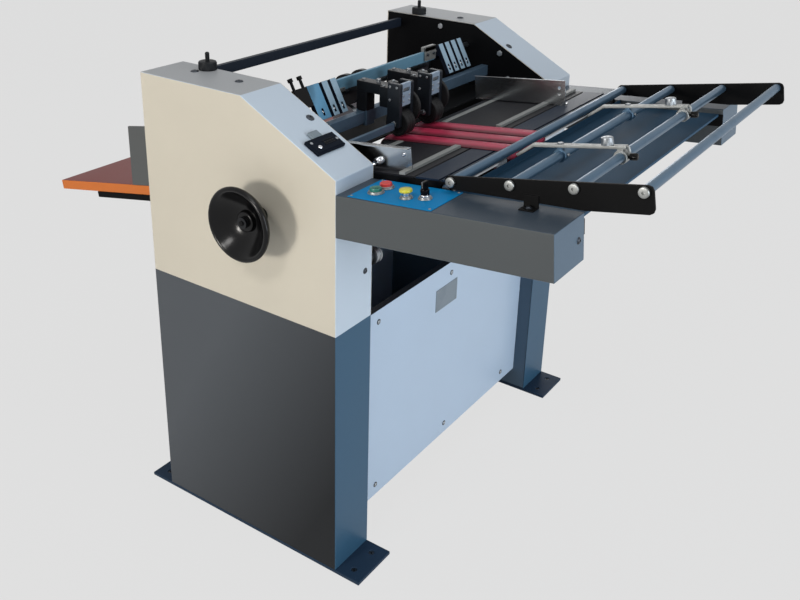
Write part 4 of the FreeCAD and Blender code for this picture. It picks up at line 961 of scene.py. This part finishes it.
addTrayHardware()
addBackStop("near", -210)
addBackStop("far", 140)
softened("tray_side_plates", 0.0012, ["trayBlack"])


# painted shade: the pan's end flanges inside the arms take black tray paint, where the arms' insides lie in shade
def panFaces(normal, centre):
    return 1 if abs(centre.x) > 0.4 else 0


softened("tray_pan", 0.0006, ["panBlue", "trayBlack"], 1, 0.0, panFaces)
dress("barBlue", "tray_rods")
print("tray finished")


# ---- controls on the near arm, counter and top knobs

controls = {"red": (-446, -64), "green": (-480, -64), "stop": (-481, -134), "selector": (-468, -168)}
controlCollars = {"red": 12, "green": 12, "stop": 8, "selector": 9}


def addControls():
    softened("control_plate", 0.0005, ["controlBlue"], 1)
    collars = Shape("arm")
    for name, (across, along) in controls.items():
        inner = controlCollars[name] + 0.3
        collars.lathe([(1.5, inner), (1.5, inner + 4.2), (2.4, inner + 4.6), (3.4, inner + 4.2), (3.6, inner + 3),
                       (6, inner + 2.6), (6.5, inner + 1.8), (6.5, inner)], (across, along, 0), "Z", 0, 40)
    screw = [(1.5, 2.6), (2.3, 2.6), (2.9, 1.9), (2.9, 1.1, 6), (2.1, 1.0, 6)]
    for across, along in ((-514, -31), (-412, -31), (-514, -207), (-412, -207)):
        collars.lathe(screw, (across, along, 0), "Z", 0, 24)
    collars.done("chrome_collars", ["nickel"], "frame", ["button_collars"])
    for name in ("red", "green"):
        cap = Shape("arm")
        cap.lathe([(4.8, 11), (5.4, 12), (11, 12), (12.2, 11.4), (12.8, 10.2), (12.4, 8.6), (12.0, 4), (11.9, 0)],
                  (*controls[name], 0), "Z", 0, 48)
        cap.done(name + "_cap_dished", [name], name + "_cap", [name + "_button"])
    stop = Shape("arm")
    stop.lathe([(4.8, 7.6), (5.2, 8), (12.8, 8), (13.6, 7.4)], (*controls["stop"], 0), "Z", 1, 36)
    stop.lathe([(13, 7), (13.6, 10.4), (14.6, 12.4), (16, 13), (18.4, 12.8), (20.2, 11.6), (21.2, 8.4), (21.7, 4),
                (21.8, 0)], (*controls["stop"], 0), "Z", 0, 48)
    stop.done("stop_mushroom", ["yellow", "bright"], "stop_cap", ["stop_button"])
    selector = Shape("arm")
    selector.lathe([(1.8, 9), (8, 9), (9.4, 8.6), (10, 8), (19.4, 8)], (*controls["selector"], 0), "Z", 1, 36)
    selector.lathe([(9.6, 8.4), (18.8, 9), (19.8, 8.6), (19.8, 0)], (*controls["selector"], 0), "Z", 0, 36)
    selector.block((-476.6, -171.5, 19), (-459.4, -164.5, 35.6), 0, 1.6, 3)
    selector.block((-476.9, -168.5, 24), (-474.4, -167.5, 35.8), 2, 0.3)
    selector.done("selector_knob", ["black", "bright", "satin"], "selector", ["selector_switch"])


def addCounter():
    shape = Shape("slope")
    shape.block((-505, -206, 0), (-420, -166, 7.6), 0, 1.6, 3)
    shape.block((-502.5, -203.5, 6.8), (-422.5, -168.5, 9), 0, 1.0)  # raised face
    shape.block((-477, -166.5, 0), (-449, -148, 7), 1, 1.2)
    shape.block((-474, -164, 6.4), (-452, -151, 8), 1, 0.6)
    for step in range(4):  # figure wheels behind a window
        start = -468 + step * 8
        shape.lathe([(0, 4.4), (6.6, 4.4)], (start, -186, 5.4), "X", 2, 28)
    shape.block((-470, -192, 8.6), (-434.6, -190.6, 9.8), 2, 0.2)
    shape.block((-470, -181.4, 8.6), (-434.6, -180, 9.8), 2, 0.2)
    shape.lathe([(8.6, 4.6), (10.6, 4.6), (11.6, 3.8), (11.9, 0)], (-488, -193, 0), "Z", 4, 32)
    for spot in ((-428, -187, 0), (-497, -177, 0)):
        shape.lathe([(8.6, 3.2), (9.6, 3.2), (10, 2.4), (9.6, 1.4, 6), (9.2, 1.3, 6)], spot, "Z", 3, 24)
    shape.done("counter_case", ["counterNavy", "counterGrey", "black", "satin", "bright"], "frame",
               ["counter"])


pressureKnob = {"across": 417.5, "along": 168, "threadStart": 1041.0, "threadEnd": 1115, "threadPitch": 1.25}


def addPressureKnob(side, across):
    shape = Shape()
    shape.lathe([(1080.3, 18.6), (1081.2, 20), (1082.4, 20), (1096.4, 20), (1098.2, 18.8), (1099.3, 16), (1099.3, 7),
                 (1098.6, 5.4)], (across, pressureKnob["along"], 0), "Z", 0, 88, (0.7, 1, 3))
    stem = [(1040, 5)]
    height = pressureKnob["threadStart"]
    while height < pressureKnob["threadEnd"]:
        stem += [(height, 4.4), (height + 0.6, 5.0)]
        height += pressureKnob["threadPitch"]
    stem += [(1116.6, 4.6), (1118.4, 3.4), (1119, 0)]
    shape.lathe(stem, (across, pressureKnob["along"], 0), "Z", 0, 24)
    shape.done(side + "_knurled_knob", ["knobBlack"], side + "_knob", [side + "_pressure_knob"])


addControls()
addCounter()
addPressureKnob("near", -pressureKnob["across"])
addPressureKnob("far", pressureKnob["across"])
print("controls, counter and knobs finished")


# ---- handwheel

handwheel = {"axis": (-73.92, 837.91), "back": -528, "nutFace": -576}


def addHandwheel():
    shape = Shape()
    outside = [(0, 14), (0, 18.6), (1.2, 20), (20, 21), (24, 22.6), (29, 28), (35, 39), (42, 53), (49, 66),
               (54, 73), (57, 75.6), (59, 76), (60.2, 77.4), (62.5, 79.2), (65.5, 80), (68.5, 79.4), (71, 77.4),
               (72, 74.6)]
    dish = [(71.6, 72), (69.6, 69.4), (66, 66.4), (60, 61), (53, 54), (46.5, 46), (41.5, 38), (38.5, 31), (37.4, 26),
            (38, 23.6), (41, 22.6), (46, 21.8), (47.6, 20.4), (48, 18), (48, 12.2)]
    shape.lathe(outside + dish, (handwheel["back"], *handwheel["axis"]), "-X", 0, 96)
    shape.done("handwheel_cup", ["wheelBlack"], "drive", ["handwheel"], 40)
    # the nut is finished black, which also paints the shade deep in the dish
    nut = Shape()
    nut.lathe([(0, 12.4), (1.6, 12.4), (2, 11.8), (2, 9.6, 6), (6.6, 9.6, 6), (7.6, 8.4, 6), (7.6, 5.4), (10, 5.2),
               (10.6, 4.4), (10.6, 0)], (handwheel["nutFace"], *handwheel["axis"]), "-X", 0, 36)
    nut.done("handwheel_nut", ["black"], "drive")


addHandwheel()
print("handwheel finished")


# ---- delivery board, screws and the bare plate

def boardFaces(normal, centre):
    facing = (frames["board"].to_3x3().inverted() @ normal).normalized()
    return 0 if abs(facing.z) > 0.8 else 1


def bracketFaces(normal, centre):
    return 0 if local("board", centre).z > 0.5 else 1


softened("delivery_board", 0.0010, ["laminate", "boardEdge"], 2, 0.0, boardFaces)
softened("delivery_brackets", 0.0008, ["wing", "frameBlack"], 1, 0.0, bracketFaces)


def addScrews():
    cap = [(0, 5), (1.4, 5), (2.4, 4.3), (3, 3.1), (3, 2.1, 6), (1.3, 1.9, 6)]
    pan = [(0, 6.8), (0.6, 6.8), (1.0, 6.2), (1.0, 5.2), (2.2, 4.9), (3, 3.6), (3, 2.4, 6), (1.2, 2.2, 6)]
    dome = [(0, 9), (0.8, 8.9), (2.0, 7.6), (2.8, 5.2), (3, 3.4), (3, 2.6, 6), (1.3, 2.4, 6)]
    casing = Shape()
    for across in (-447, 447):
        for along in (49, 178):
            casing.lathe(dome, (across, along, 1080), "Z", 0, 36)
        casing.lathe(pan, (math.copysign(424, across), -264, 727), "-Y", 0, 30)
    casing.done("cover_screws", ["dark"], "frame", ["casing_screws"])
    slope = Shape("slope")
    arms = Shape("arm")
    for side in (-1, 1):
        slope.lathe(dome, (side * 424, -111, 0), "Z", 0, 36)
        arms.lathe(pan, (side * 427, -457, -45), "-Y", 0, 30)
        arms.lathe(cap, (side * 434, -364, 3), "Z", 0, 30)
        arms.lathe([(0, 7), (0.9, 7), (1, 6)], (side * 434, -364, 2.6), "Z", 0, 30)
    slope.done("slope_screws", ["dark"], "frame")
    arms.done("arm_screws", ["dark"], "frame")
    panels = Shape()
    for across in (-315, 0, 315):
        for up in (96, 545):
            for face, way in ((-225, "-Y"), (225, "Y")):
                panels.lathe([(0, 6.8), (0.7, 6.8), (1, 6.2)], (across, face, up), way, 1, 30)
                panels.lathe(cap, (across, face, up), way, 0, 30)
    panels.done("panel_screws", ["satin", "dark"], "frame")
    plates = Shape()
    hexHead = [(0, 8, 6), (3.6, 8, 6), (4.4, 7, 6), (4.4, 3)]
    for along, up in ((83, 1060), (-108, 1012), (-138, 946)):  # inside both frames
        plates.lathe(hexHead, (400, along, up), "-X", 0, 30)
        plates.lathe(hexHead, (-400, along, up), "X", 0, 30)
    plates.done("plate_bolts", ["satin"], "frame")


def addIdler():
    # a belt idler on a stub inside the near frame
    shape = Shape()
    place = (-400, -250, 744)
    shape.lathe([(0, 11), (1, 12), (9, 12), (10, 10.4), (13, 9)], place, "X", 1, 36)
    shape.lathe([(12, 17), (12.6, 20), (15, 20), (16, 17.4), (27, 17.4), (28, 20), (30.4, 20), (31, 17), (31, 12),
                 (29.4, 11), (29.4, 8)], place, "X", 0, 56)
    shape.lathe([(29, 8, 6), (34, 8, 6), (35, 7, 6), (35, 4.2), (38, 4), (38.6, 3.2), (38.6, 0)], place, "X", 1, 30)
    shape.done("near_idler", ["satin", "dark"], "frame")


barePlate = {"left": -70, "right": 30, "low": 460, "high": 520, "face": -226.2, "pinInset": 5}


def addPlate():
    shape = Shape()
    left, right, low, high, face, inset = barePlate.values()
    shape.block((left, face, low), (right, -224.8, high), 0, 0.5)
    for across in (left + inset, right - inset):
        for up in (low + inset, high - inset):
            shape.lathe([(0, 1.9), (0.8, 1.7), (1.2, 0.9), (1.3, 0)], (across, face, up), "-Y", 1, 20)
    shape.done("bare_plate", ["plateGrey", "satin"], "frame")


footHoleShade = {"across": (428, 495), "along": 297}


def addFootHoleShade():
    # dark sunk screws in the floor anchors' holes, as painted shade: they make the holes read dark
    shape = Shape()
    screw = [(0.3, 6.7), (5.4, 6.7), (6, 6.1), (6, 3, 6), (2, 2.8, 6)]
    for side in (-1, 1):
        for across in footHoleShade["across"]:
            for along in (-footHoleShade["along"], footHoleShade["along"]):
                shape.lathe(screw, (side * across, along, 0), "Z", 0, 28)
    shape.done("foot_hole_shade_screws", ["dark"], "frame")


addScrews()
addIdler()
addPlate()
addFootHoleShade()
dress("headBlack", "layshaft", "creasing_wheels")
dress("steel", "upper_shaft", "lower_shaft", "finger_shaft", "feed_roller", "front_roller")
dress("dark", "layshaft_drive", "layshaft_pulley", "lower_drive", "upper_gear", "feed_gear", "motor_pulley",
      "bearings")
dress("drive", "drive_belts")
dress("motor", "motor")
print("screws, board and drive finished")

seenBox = [list(corner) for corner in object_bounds()]
for axis in range(3):
    grown = (seenBox[1][axis] - seenBox[0][axis]) - (cadBox[1][axis] - cadBox[0][axis])
    print("axis", "XYZ"[axis], "grows by", round(grown * 1000, 1), "mm")
